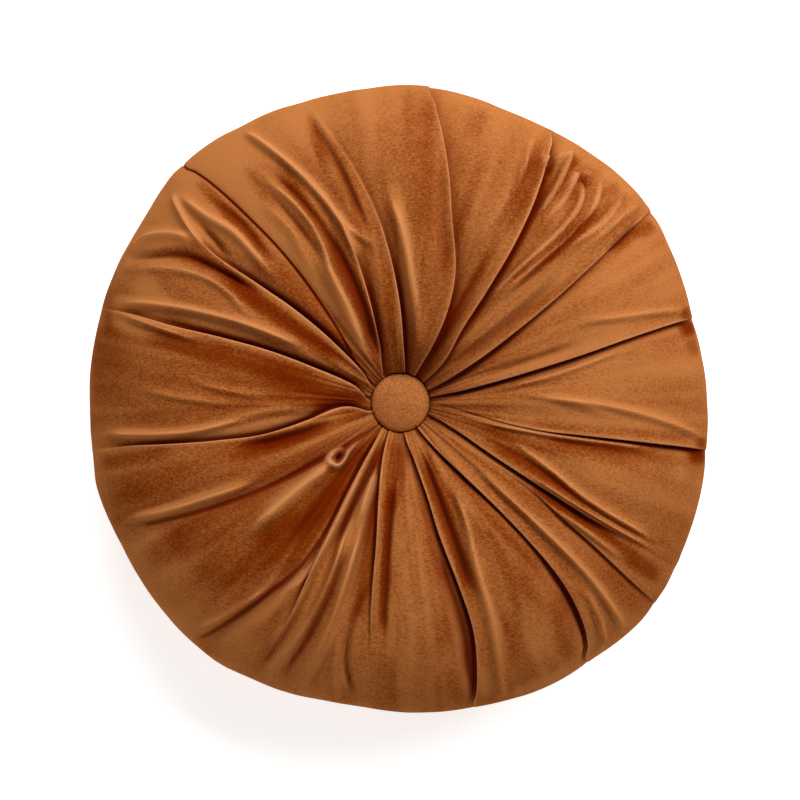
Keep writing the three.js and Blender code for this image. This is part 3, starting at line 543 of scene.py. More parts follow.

# Where the tone is moved darker or lighter, partly by nap that lies differently and partly as painted shade
# (beside lips, in pockets, where folds meet the button) and painted light (on flanks facing the light),
# listed under the pleat that the panel lies beyond: the mark's line, its half breadth on each side, how far
# it moves the tone, and the length over which its ends fade.
marks = {
    "a": [
        ([(17.2, 186), (17.2, 204)], 5, 4, -1, 6),
        ([(22, 70), (23, 120), (25, 190)], 14, 14, 0.3, 16),
        ([(31, 130), (31.6, 180)], 9, 9, 0.4, 16),
        ([(35.4, 176), (35.4, 195)], 5, 4, -0.8, 6),
        ([(35.6, 158), (36.2, 178)], 4, 3, -0.6, 6),
    ],
    "b": [
        ([(37.6, 98), (38, 126)], 3, 3, 0.4, 8),
        ([(39, 60), (39.4, 110)], 4, 4, 0.3, 16),
        ([(45.2, 172), (45.2, 190)], 4, 4, -0.5, 6),
        ([(46, 126), (48, 150), (50, 182)], 12, 14, -0.62, 16),
        ([(46.2, 98), (44.6, 130), (43.4, 160), (42.6, 188)], 3.6, 3.6, -0.65, 8),
        ([(48.8, 94), (48.4, 120)], 3, 3, -0.4, 8),
        ([(49.4, 64), (52.2, 100), (54.8, 136), (57.2, 164)], 2, 3, -0.7, 8),
        ([(50.2, 138), (50.6, 154)], 4.4, 4.4, 0.9, 8),
        ([(50.4, 169), (51, 175)], 3, 3, -0.8, 3),
        ([(54.6, 140), (54.8, 186)], 4.4, 4, -0.8, 6),
        ([(57.4, 158), (57.8, 176)], 3, 4, -0.7, 5),
    ],
    "c": [
        ([(57.6, 26), (58, 60), (59.6, 108)], 5, 5, -0.25, 16),
        ([(59, 126), (60, 150), (61, 175)], 10, 8, -0.6, 16),
        ([(66, 34), (64.4, 60)], 4, 4, 0.35, 8),
        ([(75, 166), (75, 188)], 6, 6, -0.35, 6),
        ([(79.2, 150), (79.6, 190)], 8, 5, -0.3, 8),
    ],
    "d": [
        ([(71, 76), (76.6, 104), (80.2, 142)], 4, 3, -0.1, 16),
        ([(84, 50), (87.6, 82), (91.8, 130)], 4, 3.4, 0.5, 16),
        ([(84, 100), (86, 140), (87, 190)], 10, 10, -0.4, 16),
        ([(90.6, 58), (93.4, 82), (97, 120)], 3, 3, 0.35, 16),
    ],
    "e": [
        ([(90.6, 28), (92.6, 52)], 3, 3, 0.4, 6),
        ([(100, 30), (102, 60), (103.4, 84)], 6, 5, -0.3, 16),
        ([(105, 96), (107, 110)], 3, 3, 0.4, 8),
        ([(107.4, 150), (107.8, 182)], 3.4, 4, -0.9, 10),
        ([(108.4, 104), (110.2, 128), (113, 148)], 2.4, 2.4, 0.5, 8),
        ([(113, 160), (113, 195)], 12, 10, 0.3, 16),
    ],
    "f": [
        ([(114.4, 112), (116.8, 152)], 3.6, 3.6, -0.72, 10),
        ([(114.6, 34), (113, 52), (113.6, 76), (114.6, 104)], 4.4, 4.4, -0.8, 16),
        ([(119.6, 124), (121.4, 150)], 5, 5, 0.4, 10),
        ([(121, 166), (121, 195)], 10, 8, 0.3, 16),
        ([(122.8, 138), (124, 168)], 4.4, 4.4, -0.65, 8),
        ([(124, 42), (120.4, 54), (119, 80)], 3.6, 6, 0.4, 16),
        ([(125.2, 70), (124.8, 106)], 4, 4, 0.4, 8),
        ([(126, 100), (126, 150), (126, 195)], 7, 8, 0.55, 16),
    ],
    "seam": [
        ([(130.6, 66), (130.4, 106)], 3, 3, -0.3, 10),
        ([(132.6, 118), (132.2, 150), (132.4, 180)], 3.6, 3.6, -1, 8),
        ([(134.6, 44), (134, 84), (132.6, 118)], 3.6, 3.6, -0.3, 10),
        ([(134.6, 120), (134.4, 138), (136.4, 158), (137, 184)], 4, 7, 0.9, 10),
        ([(136, 180), (136, 195)], 14, 12, 0.5, 8),
        ([(138.6, 160), (138.2, 180)], 5, 5, 1.1, 6),
    ],
    "h": [
        ([(142.8, 156), (145.6, 174), (149, 187)], 4, 2.6, 0.9, 6),
        ([(144.6, 136), (146.2, 158), (149.2, 174), (151.6, 188)], 3, 3.2, -0.5, 8),
        ([(145, 46), (144.2, 76), (144.6, 108), (144.2, 128)], 4.4, 5, -0.95, 10),
        ([(146, 176), (149, 184), (151, 197)], 14, 12, 0.8, 6),
        ([(149.4, 40), (149.4, 64), (150.4, 90), (150.6, 118)], 4, 4, 0.35, 16),
        ([(155, 50), (155.4, 100), (158, 140)], 4, 3.4, 0.35, 16),
        ([(159, 150), (155, 172)], 9, 12, 0.8, 12),
        ([(159.8, 110), (160.2, 146)], 3, 1.6, -0.6, 8),
        ([(159.8, 156), (160.6, 188)], 5, 3, 0.9, 8),
    ],
    "j": [
        ([(162.8, 162), (163.2, 186)], 4, 5, 0.8, 8),
        ([(163.4, 156), (163.4, 180)], 3, 8, 0.35, 16),
        ([(164, 56), (164, 100), (164.4, 150)], 5, 8, -0.9, 16),
        ([(164.4, 178), (164.6, 192)], 6, 6, -0.5, 8),
        ([(175, 30), (175, 50), (173, 78)], 9, 9, -0.5, 16),
        ([(176, 90), (174, 110), (174, 150)], 12, 10, -0.5, 16),
        ([(182, 24), (181, 50), (181, 90)], 8, 8, -0.5, 16),
        ([(183.4, 100), (183.4, 160)], 5, 4, -0.3, 10),
        ([(187.2, 104), (187.8, 132), (186.3, 170)], 3, 3, 0.8, 10),
        ([(188, 22), (186, 50)], 9, 8, -0.7, 6),
        ([(188, 54), (189.4, 82), (190.4, 120)], 4, 4, 0.65, 8),
    ],
    "k": [
        ([(191, 22), (192, 38)], 5, 5, -0.6, 5),
        ([(192, 140), (191.4, 188)], 4, 5, -0.55, 8),
        ([(197.8, 48), (198, 66), (197, 100)], 4, 5, -0.65, 16),
        ([(198.8, 66), (198.6, 110), (197.4, 182)], 10, 10, -0.62, 16),
        ([(204, 60), (203, 100)], 6, 6, 0.2, 16),
        ([(206.4, 120), (206.8, 152)], 7, 5, 0.5, 16),
        ([(207, 104), (206.2, 126), (203.8, 170)], 3.6, 3.4, 1, 12),
    ],
    "m": [
        ([(212.4, 152), (212, 180)], 9, 9, -0.5, 8),
        ([(214.6, 94), (213.6, 130), (211, 160)], 8, 14, -0.6, 16),
        ([(220.4, 58), (220, 78), (220.6, 100)], 5.4, 5.4, 0.55, 8),
        ([(224.4, 156), (224, 178)], 12, 12, -0.4, 12),
        ([(225.4, 90), (224.6, 116)], 6, 5, -0.5, 8),
        ([(229, 160), (228, 190)], 14, 12, 0.25, 16),
        ([(231, 26), (230.6, 60), (228.6, 100), (222, 156)], 12, 12, -0.75, 16),
        ([(236, 60), (235.6, 120)], 3, 4, -0.7, 8),
    ],
    "p": [
        ([(233, 160), (232, 188)], 9, 9, 0.35, 10),
        ([(236, 26), (236.6, 60), (237.6, 98)], 9, 9, -1, 10),
        ([(237, 130), (233.4, 166)], 6, 6, 0.45, 8),
    ],
    "o": [
        ([(243.4, 106), (243.8, 134)], 2, 2, -0.3, 8),
        ([(245.6, 30), (245.2, 56), (245.6, 84)], 2.4, 2.6, -0.8, 8),
        ([(246, 108), (246.4, 150)], 2.6, 2.6, 0.35, 8),
        ([(246, 146), (244.6, 174)], 5, 5, 0.4, 10),
        ([(247.8, 66), (248.2, 92)], 2.4, 2.4, 0.85, 8),
        ([(249.6, 54), (251, 84), (252, 112)], 4.4, 4.4, 0.5, 8),
        ([(250.4, 90), (250, 120), (248.4, 160)], 2.4, 2.4, -0.25, 16),
        ([(251.6, 26), (251.6, 44)], 4, 4, -0.4, 8),
        ([(253.4, 138), (253, 172)], 4, 4, 0.5, 10),
        ([(254.6, 84), (254.4, 130)], 4, 4, 0.25, 16),
        ([(258.6, 56), (258.8, 130)], 5, 4, -0.6, 8),
        ([(259, 140), (260, 180)], 8, 5, 0.25, 16),
    ],
    "q": [
        ([(263.6, 50), (264, 75), (264.8, 98), (265.6, 134)], 3, 3.2, -0.8, 8),
        ([(267, 24), (268.4, 64)], 6.4, 6.4, -0.5, 6),
        ([(267.4, 114), (267.8, 150)], 3, 3, 0.4, 8),
        ([(272, 80), (271, 130), (270, 170)], 8, 8, 0.3, 16),
        ([(275, 74), (274.6, 120)], 3, 3, -0.4, 10),
        ([(280.6, 50), (281.2, 90), (281.6, 110)], 5, 5, -0.5, 16),
        ([(281, 164), (281, 190)], 6, 5, -0.3, 8),
        ([(281.6, 120), (281, 148)], 5, 4, -0.35, 8),
    ],
    "r": [
        ([(287.4, 166), (286.4, 188)], 4, 5, 0.5, 8),
        ([(292.6, 36), (291.8, 66), (291.2, 90), (290.6, 120)], 4.6, 5, -0.85, 10),
        ([(293.4, 108), (292.6, 150)], 4, 4, 0.4, 10),
        ([(295, 188), (295, 202)], 14, 14, 0.5, 6),
        ([(295.6, 140), (294, 166)], 3, 3, -0.3, 8),
        ([(300.4, 58), (299.6, 96)], 5, 4, -0.45, 8),
        ([(300.4, 170), (299.6, 190)], 5, 5, -0.4, 6),
        ([(303.4, 84), (303.2, 100), (301.4, 124), (296, 158)], 3.4, 3.4, -0.35, 16),
        ([(304, 122), (303.6, 140)], 5, 5, -0.35, 8),
        ([(309, 148), (303, 184)], 8, 8, -0.45, 8),
        ([(310, 46), (309.6, 84), (311.2, 128)], 5, 3, -0.5, 8),
    ],
    "s": [
        ([(316.6, 62), (316.6, 94), (316.4, 134)], 3, 3, -0.15, 16),
        ([(318.2, 104), (316.8, 164)], 4, 4, 0.45, 8),
        ([(320.6, 150), (319.6, 190)], 10, 8, -0.35, 16),
        ([(322.6, 76), (323, 112)], 5, 4, -0.35, 16),
    ],
    "t": [
        ([(326.2, 158), (326, 184)], 6, 5, -0.75, 8),
        ([(327.4, 104), (326.8, 132)], 2.4, 2.4, -0.3, 8),
        ([(327.8, 96), (327.6, 130), (326.8, 154)], 4, 5, -0.8, 16),
        ([(328.8, 80), (328.4, 108)], 4, 5, -0.2, 10),
    ],
    "u": [
        ([(334.4, 60), (331.6, 106)], 4, 4, -0.3, 10),
        ([(336.4, 56), (334, 90), (331.2, 128)], 4, 3, -0.6, 16),
    ],
    "v": [
        ([(340, 100), (339, 170)], 14, 12, 0.35, 16),
        ([(343.4, 46), (343, 70), (344.6, 104)], 6, 4, -0.25, 16),
        ([(346, 92), (346.4, 140)], 6, 5, -0.5, 10),
        ([(346, 170), (346, 180)], 5, 5, 0.5, 6),
        ([(348.4, 100), (349, 160)], 6, 4, -0.5, 16),
        ([(350.2, 182), (350.4, 206)], 6, 3, -1.5, 6),
    ],
    "w": [
        ([(351.6, 84), (352.6, 140), (353, 178)], 2.5, 3, -0.4, 8),
        ([(352.2, 186), (352.2, 204)], 5, 4, -1, 6),
        ([(357.4, 60), (357, 100), (356.4, 165)], 8, 8, 0.5, 16),
        ([(362, 50), (361.6, 86)], 5, 5, -0.4, 8),
        ([(366, 110), (364, 180)], 14, 14, 0.15, 16),
        ([(371, 60), (373, 110)], 4, 4, -0.3, 10),
        ([(371, 184), (371, 200)], 8, 6, -0.5, 6),
        ([(375, 184), (375, 206)], 6, 3, -1.5, 6),
    ],
}

# How much painted light the rim gets at each turn; values below zero paint shade.
rimLightAndShade = {
    "turn": [5, 30, 44, 56, 74, 88, 105, 120, 135, 150, 166, 180, 196, 210, 230, 250, 270, 286, 300, 314,
             324, 340],
    "tone": [0.1, 0.15, 0.15, 0, 0.2, 0.1, 0.3, 0.5, 0.65, 0.6, -0.4, 0, 0.05, 0.4, 0.55, 0.3, 0.3, 0.1,
             0.35, 0.5, -0.1, 0.15],
    "from": 140.0,
    "to": 190.0,
}

# The small twisted tuck beside pleat m: a rolled ridge that goes round a hole and runs on towards the
# button. Each place of the ridge is a turn, a reach, its breadth and its height.
tuck = {
    "hole": {"turn": 221.4, "reach": 48.4, "across": 1.3, "along": 2.2, "deep": 6.0},
    "ridge": [(225.6, 29, 2.2, 0.6), (223.2, 36, 2.6, 2.6), (223.2, 42, 2.3, 3.4), (225, 46.8, 1.8, 4),
              (225.9, 50.3, 1.8, 4), (225, 53.6, 1.9, 4), (221.5, 55.4, 2, 4), (218, 55, 1.9, 4),
              (216.4, 51.6, 1.8, 4), (216.6, 47.9, 1.6, 3.8), (217.8, 43.6, 1.4, 2.4)],
    "points": 12,
}


def smooth(t):
    t = np.clip(t, 0, 1)
    return t * t * (3 - 2 * t)


def along(stations, values, at):
    # A smooth curve through values at rising stations, level beyond both ends.
    s = np.asarray(stations, float)
    v = np.asarray(values, float)
    at = np.clip(at, s[0], s[-1])
    k = np.clip(np.searchsorted(s, at, side="right") - 1, 0, len(s) - 2)
    slope = np.empty(len(s))
    slope[1:-1] = (v[2:] - v[:-2]) / (s[2:] - s[:-2])
    slope[0] = (v[1] - v[0]) / (s[1] - s[0])
    slope[-1] = (v[-1] - v[-2]) / (s[-1] - s[-2])
    step = s[k + 1] - s[k]
    t = (at - s[k]) / step
    rise = v[k + 1] - v[k]
    start = slope[k] * step
    end = slope[k + 1] * step
    return v[k] + t * (start + t * (3 * rise - 2 * start - end + t * (start + end - 2 * rise)))


def courseOf(line, reach):
    # The turn at each reach of a line of places.
    return along([place[1] for place in line], [place[0] for place in line], reach)


def besideLine(line, near, far, fade, turn, reach):
    # How far each point lies beside a line, in half breadths, and how strong the line is at that reach.
    across = ((turn - courseOf(line, reach) + 540) % 360) - 180
    away = reach * np.radians(across)
    start = smooth((reach - line[0][1] + fade) / (2 * fade))
    end = smooth((line[-1][1] - reach + fade) / (2 * fade))
    return away / np.where(away < 0, near, far), start * end


def round360(stations, values, turn):
    # A smooth closed curve through values at turns all the way round.
    stations = np.array(stations, float)
    values = np.array(values, float)
    wrapped = (turn - stations[0]) % 360 + stations[0]
    stations = np.concatenate([stations[-2:] - 360, stations, stations[:2] + 360])
    return along(stations, np.concatenate([values[-2:], values, values[:2]]), wrapped)


def softNoise(x, y, seed, period=0):
    # Smooth random heights from -1 to 1, one cell to each unit of x and y; period is where x wraps round.
    random = np.random.default_rng(seed)
    table = random.uniform(-1, 1, (512, 512))
    x0 = np.floor(x).astype(int)
    y0 = np.floor(y).astype(int)
    fx = smooth(x - x0)
    fy = smooth(y - y0)
    wrap = period if period else 512
    a = table[x0 % wrap, y0 % 512]
    b = table[(x0 + 1) % wrap, y0 % 512]
    c = table[x0 % wrap, (y0 + 1) % 512]
    d = table[(x0 + 1) % wrap, (y0 + 1) % 512]
    return (a * (1 - fx) + b * fx) * (1 - fy) + (c * (1 - fx) + d * fx) * fy


def turnNoise(row, turn, reach):
    # Soft noise in streaks that run out from the button, with no break where the turns come round.
    x = turn % 360 / row["turn"] + row.get("start", 0)
    return softNoise(x, reach / row["reach"], row["seed"], round(360 / row["turn"]))


def evenRows(r, z, count, dense=0):
    # The same curve with its points spaced evenly, or closer together where the small tuck lies.
    gain = 1 + dense * np.exp(-((r[1:] - mesh["denseAt"]) / mesh["denseWidth"]) ** 4)
    far = np.concatenate([[0], np.cumsum(np.hypot(np.diff(r), np.diff(z)) * gain)])
    at = np.linspace(0, far[-1], count)
    return np.interp(at, far, r), np.interp(at, far, z)


def sectionRows():
    # Radius, height, way out and reach of each row, from the front well over the rim to the back well.
    edge = body["wellEdge"]
    crown = body["crownRadius"]
    rest = body["restRadius"]
    rim = body["rimHeight"]
    a = np.linspace(0, math.pi / 2, 2 * mesh["curvePoints"])
    power = 2 / body["frontFullness"]
    face = np.linspace(edge, crown, mesh["curvePoints"])
    r = np.concatenate([face, crown + (body["radius"] - crown) * np.sin(a[1:]) ** power])
    z = rim + (body["crownHeight"] - rim) * np.clip(np.cos(a[1:]), 0, 1) ** power
    z = np.concatenate([np.full(len(face), body["crownHeight"]), z])
    z = z - body["wellDepth"] * np.exp(-(r - edge) / body["wellSpread"])
    frontR, frontZ = evenRows(r, z, mesh["frontRows"], mesh["dense"])
    power = 2 / body["backFullness"]
    a = a[::-1]
    r = rest + (body["radius"] - rest) * np.sin(a) ** power
    z = rim * (1 - np.clip(np.cos(a), 0, 1) ** power)
    flat = np.linspace(rest, edge, mesh["curvePoints"])[1:]
    r = np.concatenate([r, flat])
    z = np.concatenate([z, body["backDepth"] * np.exp(-(flat - edge) / body["backSpread"])])
    backR, backZ = evenRows(r, z, mesh["backRows"] + 1)
    r = np.concatenate([frontR, backR[1:]])
    z = np.concatenate([frontZ, backZ[1:]])
    front = np.arange(len(r)) < len(frontR)
    dr = np.gradient(r)
    dz = np.gradient(z)
    length = np.hypot(dr, dz)
    step = np.hypot(np.diff(r), np.diff(z))
    rimRow = len(frontR) - 1
    far = np.zeros(len(r))
    for j in range(rimRow + 1):
        far[j] = r[j] if r[j] <= body["flatReach"] else far[j - 1] + step[j - 1]
    backFar = np.zeros(len(r))
    for j in range(len(r) - 1, rimRow - 1, -1):
        backFar[j] = r[j] if r[j] <= body["flatReach"] else backFar[j + 1] + step[j]
    share = np.clip((backFar[rimRow] - backFar) / (backFar[rimRow] - backFold["lineRadius"]), 0, 1)
    return {"r": r, "z": z, "front": front, "outR": -dz / length, "outZ": dr / length,
            "reach": np.where(front, far, backFar), "backShare": np.where(front, 0, share)}


def pleatCourses(rows):
    # Where each pleat lies and how deep it is on each row.
    turns = []
    deeps = []
    for pleat in pleats:
        rimTurn = pleat["turn"][-1]
        rimDeep = pleat["deep"][-1]
        ease = smooth(rows["backShare"])
        backTurn = rimTurn + (pleat["backTurn"] - rimTurn) * ease
        backDeep = rimDeep * (1 - ease)
        backDeep += pleat["backDeep"] * along(backFold["stations"], backFold["depth"], rows["reach"])
        turns.append(np.where(rows["front"], along(turnStations, pleat["turn"], rows["reach"]), backTurn))
        deeps.append(np.where(rows["front"], along(deepStations, pleat["deep"], rows["reach"]), backDeep))
    return np.array(turns), np.array(deeps)


def coverColumns():
    # Each column's panel, its kind (0 and 1 at the near and far pleat, 2 between them) and its step there.
    columns = []
    at = body["crownRadius"]
    turns = [along(turnStations, pleat["turn"], at) for pleat in pleats]
    for i in range(len(pleats)):
        lap = 360 if i + 1 == len(pleats) else 0
        width = at * math.radians(turns[(i + 1) % len(pleats)] + lap - turns[i])
        count = max(4, round(width / mesh["panelColumn"]))
        steps = [k / mesh["edgeColumns"] for k in range(1, mesh["edgeColumns"] + 1)]
        columns += [(i, 0, step) for step in steps]
        columns += [(i, 2, (k + 1) / (count + 1)) for k in range(count)]
        columns += [(i, 1, -step) for step in reversed(steps)]
    return columns


def swellHeights(turn, reach):
    height = np.zeros(turn.shape)
    for line, near, far, high, fade in swells.values():
        slant = reach * np.radians(courseOf(line, reach + 0.5) - courseOf(line, reach - 0.5))
        away, strength = besideLine(line, near, far, fade, turn, reach)
        height += high * strength * np.exp(-(away / np.hypot(1, slant)) ** 2)
    return height * fold["swell"]


def napAndPaintedLightTones(turn, reach, panel):
    # Marks of nap and of painted light and shade. Each mark stays on its own panel, so its edge is crisp
    # where the pleats are.
    tone = np.zeros(turn.shape)
    for i, pleat in enumerate(pleats):
        here = (panel == i)[:, None]
        for line, near, far, shift, fade in marks.get(pleat["name"], []):
            away, strength = besideLine(line, near, far, fade, turn, reach)
            tone += here * shift * strength * np.exp(-away ** 4)
    return tone


def tuckHeights(turn, reach):
    x = reach * np.cos(np.radians(turn))
    y = reach * np.sin(np.radians(turn))
    places = np.array(tuck["ridge"], float)
    steps = np.arange(len(places))
    fine = np.linspace(0, len(places) - 1, (len(places) - 1) * tuck["points"] + 1)
    lineTurn, lineReach, breadth, high = (along(steps, places[:, k], fine) for k in range(4))
    ridge = np.zeros(turn.shape)
    for a, r, b, h in zip(np.radians(lineTurn), lineReach, breadth, high):
        far = np.hypot(x - r * math.cos(a), y - r * math.sin(a)) / b
        ridge = np.maximum(ridge, h * np.exp(-far ** 2))
    hole = tuck["hole"]
    sideways = reach * np.radians(turn - hole["turn"]) / hole["across"]
    far = np.hypot(sideways, (reach - hole["reach"]) / hole["along"])
    return ridge, hole["deep"] * np.exp(-far ** 2)


def perPleat(key, usual=None):
    # One value of every pleat, as a column.
    return np.array([pleat.get(key, usual) for pleat in pleats], float)[:, None]


def layPanels(rows, turns, deeps):
    # How far across its panel each point lies, with the lip of each pleat swung over what lies under it.
    columns = coverColumns()
    panel = np.array([column[0] for column in columns])
    kind = np.array([column[1] for column in columns])[:, None]
    step = np.array([column[2] for column in columns])[:, None]
    following = (panel + 1) % len(pleats)
    lap = np.where(panel + 1 == len(pleats), 360, 0)[:, None]
    width = rows["r"][None, :] * np.radians(turns[following] + lap - turns[panel])
    over = perPleat("over") * smooth((deeps - fold["overFrom"]) / fold["overTo"])
    half = perPleat("half", fold["halfWidth"])
    nearHalf = np.minimum(half[panel], width * fold["share"])
    farHalf = np.minimum(half[following], width * fold["share"])
    bend = np.sin(math.pi * step)
    across = nearHalf + (width - nearHalf - farHalf) * step
    across = np.where(kind == 0, nearHalf * (step - bend * over[panel]), across)
    across = np.where(kind == 1, width + farHalf * (step - bend * over[following]), across)
    return {"panel": panel, "following": following, "kind": kind, "step": step,
            "across": across, "width": width,
            "nearAway": np.maximum(across - nearHalf, 0),
            "farAway": np.maximum(width - across - farHalf, 0)}


def pleatShapes(deeps, laid):
    # The height that the pleats give each point, and how far it lies in a hollow, on a crest or on a lip,
    # which the velvet paints as shade, highlight and lip highlight.
    shape = laid["across"].shape
    height = np.zeros(shape)
    hollow = np.zeros(shape)
    crest = np.zeros(shape)
    lipHighlight = np.zeros(shape)
    for near, which, away in ((0, laid["panel"], laid["nearAway"]), (1, laid["following"], laid["farAway"])):
        atEdge = laid["kind"] == near
        deep = deeps[which]
        lip = deep * fold["lipShare"]
        lean = perPleat("lean")[which]
        wide = perPleat("open")[which]
        line = perPleat("line", 1.0)[which]
        place = np.where(atEdge, laid["step"], 1.0 if near == 0 else -1.0)
        side = place * lean
        dies = np.exp(-away / wide)
        inside = -deep + (deep + lip) * smooth((side + 1) / fold["lipTop"])
        roll = fold["lipRollShare"]
        behind = roll * np.exp(-(away / fold["lipRoll"]) ** 1.5)
        behind += (1 - roll) * np.exp(-away / fold["lipReach"])
        beyond = np.where(side > 0, lip * behind, -deep * dies)
        groove = -deep * (1 - smooth(np.abs(place))) - fold["grooveFlank"] * deep * dies
        height += np.where(lean == 0, groove, np.where(atEdge, inside, beyond))
        weight = np.clip(deep / shade["fullDepth"], 0, 1)
        # Painted shade under each lip and along each plain groove.
        underLip = weight * np.where(side > shade["lipFrom"], 0, np.exp(-away / (wide * shade["lipSpread"])))
        inGroove = line * (1 - np.abs(place)) * (deep > shade["grooveFrom"]) + weight * dies
        hollow += np.where(lean == 0, inGroove, underLip)
        # Painted highlight along the crest of each lip.
        onCrest = np.exp(-((side - shade["crestAt"]) / shade["crestHalf"]) ** 2)
        crest += np.abs(lean) * weight * onCrest * atEdge
        # Painted highlight along the edge of each lip.
        onLine = np.exp(-((side - shade["lineAt"]) / shade["lineHalf"]) ** 2)
        edge = smooth(deep / shade["lineDepth"]) * onLine * np.abs(lean) * line
        lipHighlight = np.maximum(lipHighlight, np.where(atEdge, edge, 0))
    return height, hollow, crest, lipHighlight


def fillingHeights(x, y, turn, reach):
    # Uneven filling, and the fine gathers close to the buttons.
    height = np.zeros(x.shape)
    for row in lumps:
        lump = softNoise(x / row["across"] + row["start"], y / row["across"] + row["start"], row["seed"])
        height += row["high"] * lump * smooth((reach - row["from"]) / row["over"])
    for row in gathers:
        dies = np.exp(-(reach - turnStations[0]) / row["dies"])
        height += row["high"] * turnNoise(row, turn, reach) * dies
    return height


def coverPoints():
    rows = sectionRows()
    turns, deeps = pleatCourses(rows)
    laid = layPanels(rows, turns, deeps)
    height, hollow, crest, lipHighlight = pleatShapes(deeps, laid)
    r = rows["r"][None, :]
    reach = np.broadcast_to(rows["reach"][None, :], height.shape)
    turn = turns[laid["panel"]] + np.degrees(laid["across"] / r)
    share = laid["across"] / laid["width"]
    puff = along(fold["puffStations"], fold["puff"], reach)
    height += puff * np.minimum(1, laid["width"] / fold["puffWidth"]) * (1 - (2 * share - 1) ** 2) ** 2
    front = rows["front"][None, :]
    ring, hole = tuckHeights(turn, reach)
    ring = np.where(front, ring, 0)
    soft = np.where(front, swellHeights(turn, reach) + ring - hole, 0)
    height += soft + fillingHeights(r * np.cos(np.radians(turn)), r * np.sin(np.radians(turn)), turn, reach)
    outer = smooth((r - body["crownRadius"]) / (body["radius"] - body["crownRadius"]))
    outR = r + round360(outline["turn"], outline["out"], turn) * outer + rows["outR"][None, :] * height
    z = np.maximum(rows["z"][None, :] + rows["outZ"][None, :] * height, 0)
    # Painted shade in the hollows between the swells.
    hollow += np.clip(-soft / shade["softDepth"], 0, 1) * shade["softHollow"]
    # Painted highlight on the crests of the swells.
    crest += np.clip(soft / shade["softHeight"], 0, shade["mostCrest"])
    # Painted highlight along the rolled ridge of the small tuck.
    lipHighlight = np.maximum(lipHighlight, smooth(ring / shade["ringHeight"] - shade["ringFrom"]) * shade["ringLine"])
    # Nap streaks at random, then marks of nap and of painted light and shade, then painted light and shade
    # towards the rim.
    napAndPaintedLight = sum(row["share"] * turnNoise(row, turn, reach) for row in streaks)
    napAndPaintedLight += napAndPaintedLightTones(turn, reach, laid["panel"])
    # Painted light and shade towards the rim.
    towardsRim = smooth((reach - rimLightAndShade["from"]) / (rimLightAndShade["to"] - rimLightAndShade["from"]))
    napAndPaintedLight += round360(rimLightAndShade["turn"], rimLightAndShade["tone"], turn) * towardsRim
    return {"x": outR * np.cos(np.radians(turn)), "y": outR * np.sin(np.radians(turn)), "z": z,
            "hollow": np.clip(hollow, 0, shade["mostHollow"]),
            "crest": np.clip(crest, 0, shade["mostCrest"]),
            "napAndPaintedLight": napAndPaintedLight, "lipHighlight": lipHighlight}


def gridMesh(name, x, y, z, capLow, capHigh):
    # A closed skin over a grid whose columns go round, with a point at each end. Its rows run from capHigh
    # to capLow.
    count, rows = x.shape
    points = np.stack([x, y, z], axis=2).reshape(-1, 3)
    points = np.vstack([points, [capHigh], [capLow]])
    top = count * rows
    faces = []
    for i in range(count):
        k = (i + 1) % count
        for j in range(rows - 1):
            faces.append((i * rows + j, i * rows + j + 1, k * rows + j + 1, k * rows + j))
        faces.append((top, i * rows, k * rows))
        faces.append((top + 1, k * rows + rows - 1, i * rows + rows - 1))
    data = bpy.data.meshes.new(name)
    data.from_pydata((points * mm).tolist(), [], faces)
    data.polygons.foreach_set("use_smooth", [True] * len(faces))
    data.update()
    piece = bpy.data.objects.new(name, data)
    bpy.context.collection.objects.link(piece)
    return piece


def paintPoints(piece, key, values):
    layer = piece.data.attributes.new(key, "FLOAT", "POINT")
    layer.data.foreach_set("value", np.asarray(values, np.float32))


def makeCover(material):
    points = coverPoints()
    spokes = np.arctan2(points["y"], points["x"])
    low = backFloor + lining["under"]
    high = wellFloor - lining["under"]
    inner, outer, edge = lining["radii"]

    def ring(radius, height, column):
        angle = spokes[:, column]
        return np.stack([radius * np.cos(angle), radius * np.sin(angle), np.full(angle.shape, height)])

    front = [ring(inner, high, 0), ring(outer, high, 0), ring(edge, wellFloor + lining["above"], 0)]
    back = [ring(edge, backFloor - lining["above"], -1), ring(outer, low, -1), ring(inner, low, -1)]
    x, y, z = (np.column_stack([p[i] for p in front] + [points[key]] + [p[i] for p in back])
               for i, key in enumerate("xyz"))
    cover = gridMesh("velvetCover", x + axisX, y + axisY, z, (axisX, axisY, low), (axisX, axisY, high))
    # Painted shade, painted highlight, nap with painted light and shade, and painted lip highlight, at each
    # point.
    for key in ("hollow", "crest", "napAndPaintedLight", "lipHighlight"):
        values = np.pad(points[key], ((0, 0), (len(front), len(back))), "edge").reshape(-1)
        paintPoints(cover, key, np.append(values, [0.0, 0.0]))
    # Painted light and shade: how far each point's face is turned towards the key light.
    tilts = np.empty(len(cover.data.vertices) * 3, np.float32)
    cover.data.vertex_normals.foreach_get("vector", tilts)
    paintedLightAngle = math.radians(fold["paintedLightTurn"])
    paintPoints(cover, "laid", tilts.reshape(-1, 3) @ np.array([math.cos(paintedLightAngle), math.sin(paintedLightAngle), 0.0]))
    cover.data.materials.append(material)
    print("cover:", len(cover.data.polygons), "faces")
    return cover


# The buttons

button = {
    "light": (0.52, 0.2, 0.06, 1),
    "dark": (0.25, 0.06, 0.009, 1),
    "thickness": 9.4,
    "edgeHeight": 3.8,
    "fullness": 0.62,
    "segments": 96,
    "domeRows": 18,
    "crowding": 0.7,        # below 1 the dome's rows crowd towards its edge
    "innermost": 0.06,
    "tuckedIn": [(0.1, 2.66), (0.5, 1.33), (1.6, 0.7), (3.4, 0.0)],     # inward and height, under the edge
    "wobble": [(3, 0.006, 0.4), (7, 0.004, 1.9)],
    "puckers": 19,
    "pucker": 0.12,
    "puckerFrom": 0.8,
}


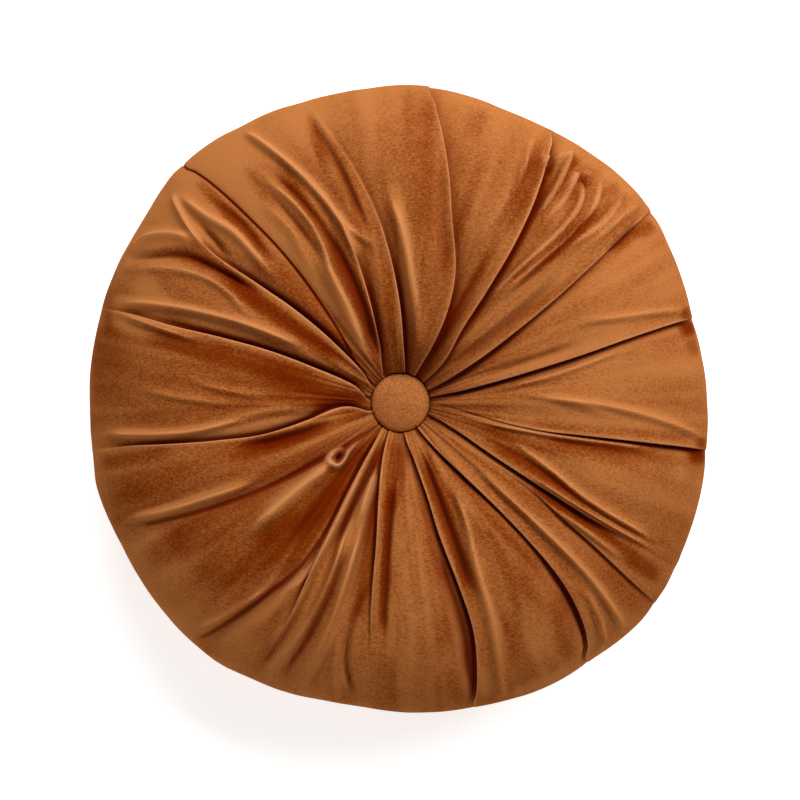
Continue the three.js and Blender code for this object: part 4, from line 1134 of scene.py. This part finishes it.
def makeButton(name, base, up, material):
    turns = np.linspace(0, 2 * math.pi, button["segments"], endpoint=False)[:, None]
    dome = np.linspace(button["innermost"], 1, button["domeRows"]) ** button["crowding"]
    bulge = np.maximum(np.cos(math.pi / 2 * dome), 0) ** button["fullness"]
    height = button["edgeHeight"] + (button["thickness"] - button["edgeHeight"]) * bulge
    radius = np.append(buttonRadius * dome, [buttonRadius - inward for inward, high in button["tuckedIn"]])
    height = np.append(height, [high for inward, high in button["tuckedIn"]])
    wobble = 1 + sum(size * np.sin(count * turns + start) for count, size, start in button["wobble"])
    nearEdge = smooth((radius / buttonRadius - button["puckerFrom"]) / (1 - button["puckerFrom"]))
    pucker = button["pucker"] * np.sin(button["puckers"] * turns) * nearEdge
    x = axisX + radius * np.cos(turns) * wobble
    y = axisY + up * radius * np.sin(turns) * wobble
    z = base + up * (height + pucker)
    piece = gridMesh(name, x, y, z, (axisX, axisY, base), (axisX, axisY, base + up * button["thickness"]))
    piece.data.materials.append(material)
    return piece


def makeFloor():
    side = room["floorSide"]
    data = bpy.data.meshes.new("floor")
    corners = [(-side, -side, 0), (side, -side, 0), (side, side, 0), (-side, side, 0)]
    data.from_pydata(corners, [], [(0, 1, 2, 3)])
    floor = bpy.data.objects.new("floor", data)
    bpy.context.collection.objects.link(floor)
    paper = Shader("floor")
    paper.surface.inputs["Base Color"].default_value = (*room["floor"], 1)
    paper.surface.inputs["Roughness"].default_value = 0.9
    paper.surface.inputs["Emission Color"].default_value = (1, 1, 1, 1)
    paper.surface.inputs["Emission Strength"].default_value = room["floorGlow"]
    data.materials.append(paper.material)
    return floor


placeCamera()
placeLights()
print("camera and lights placed")

cover = makeCover(velvet("coverVelvet", velvetLook, True))
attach(cover, "root")
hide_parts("cover")

buttonVelvet = velvet("buttonVelvet", dict(velvetLook, light=button["light"], dark=button["dark"]), False)
frontButton = makeButton("frontButton", wellFloor, 1, buttonVelvet)
backButton = makeButton("backButton", backFloor, -1, buttonVelvet)
for piece, node in ((frontButton, "front_button"), (backButton, "back_button")):
    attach(piece, "root")
    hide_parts(node)
print("buttons made")

makeFloor()
print("floor laid")
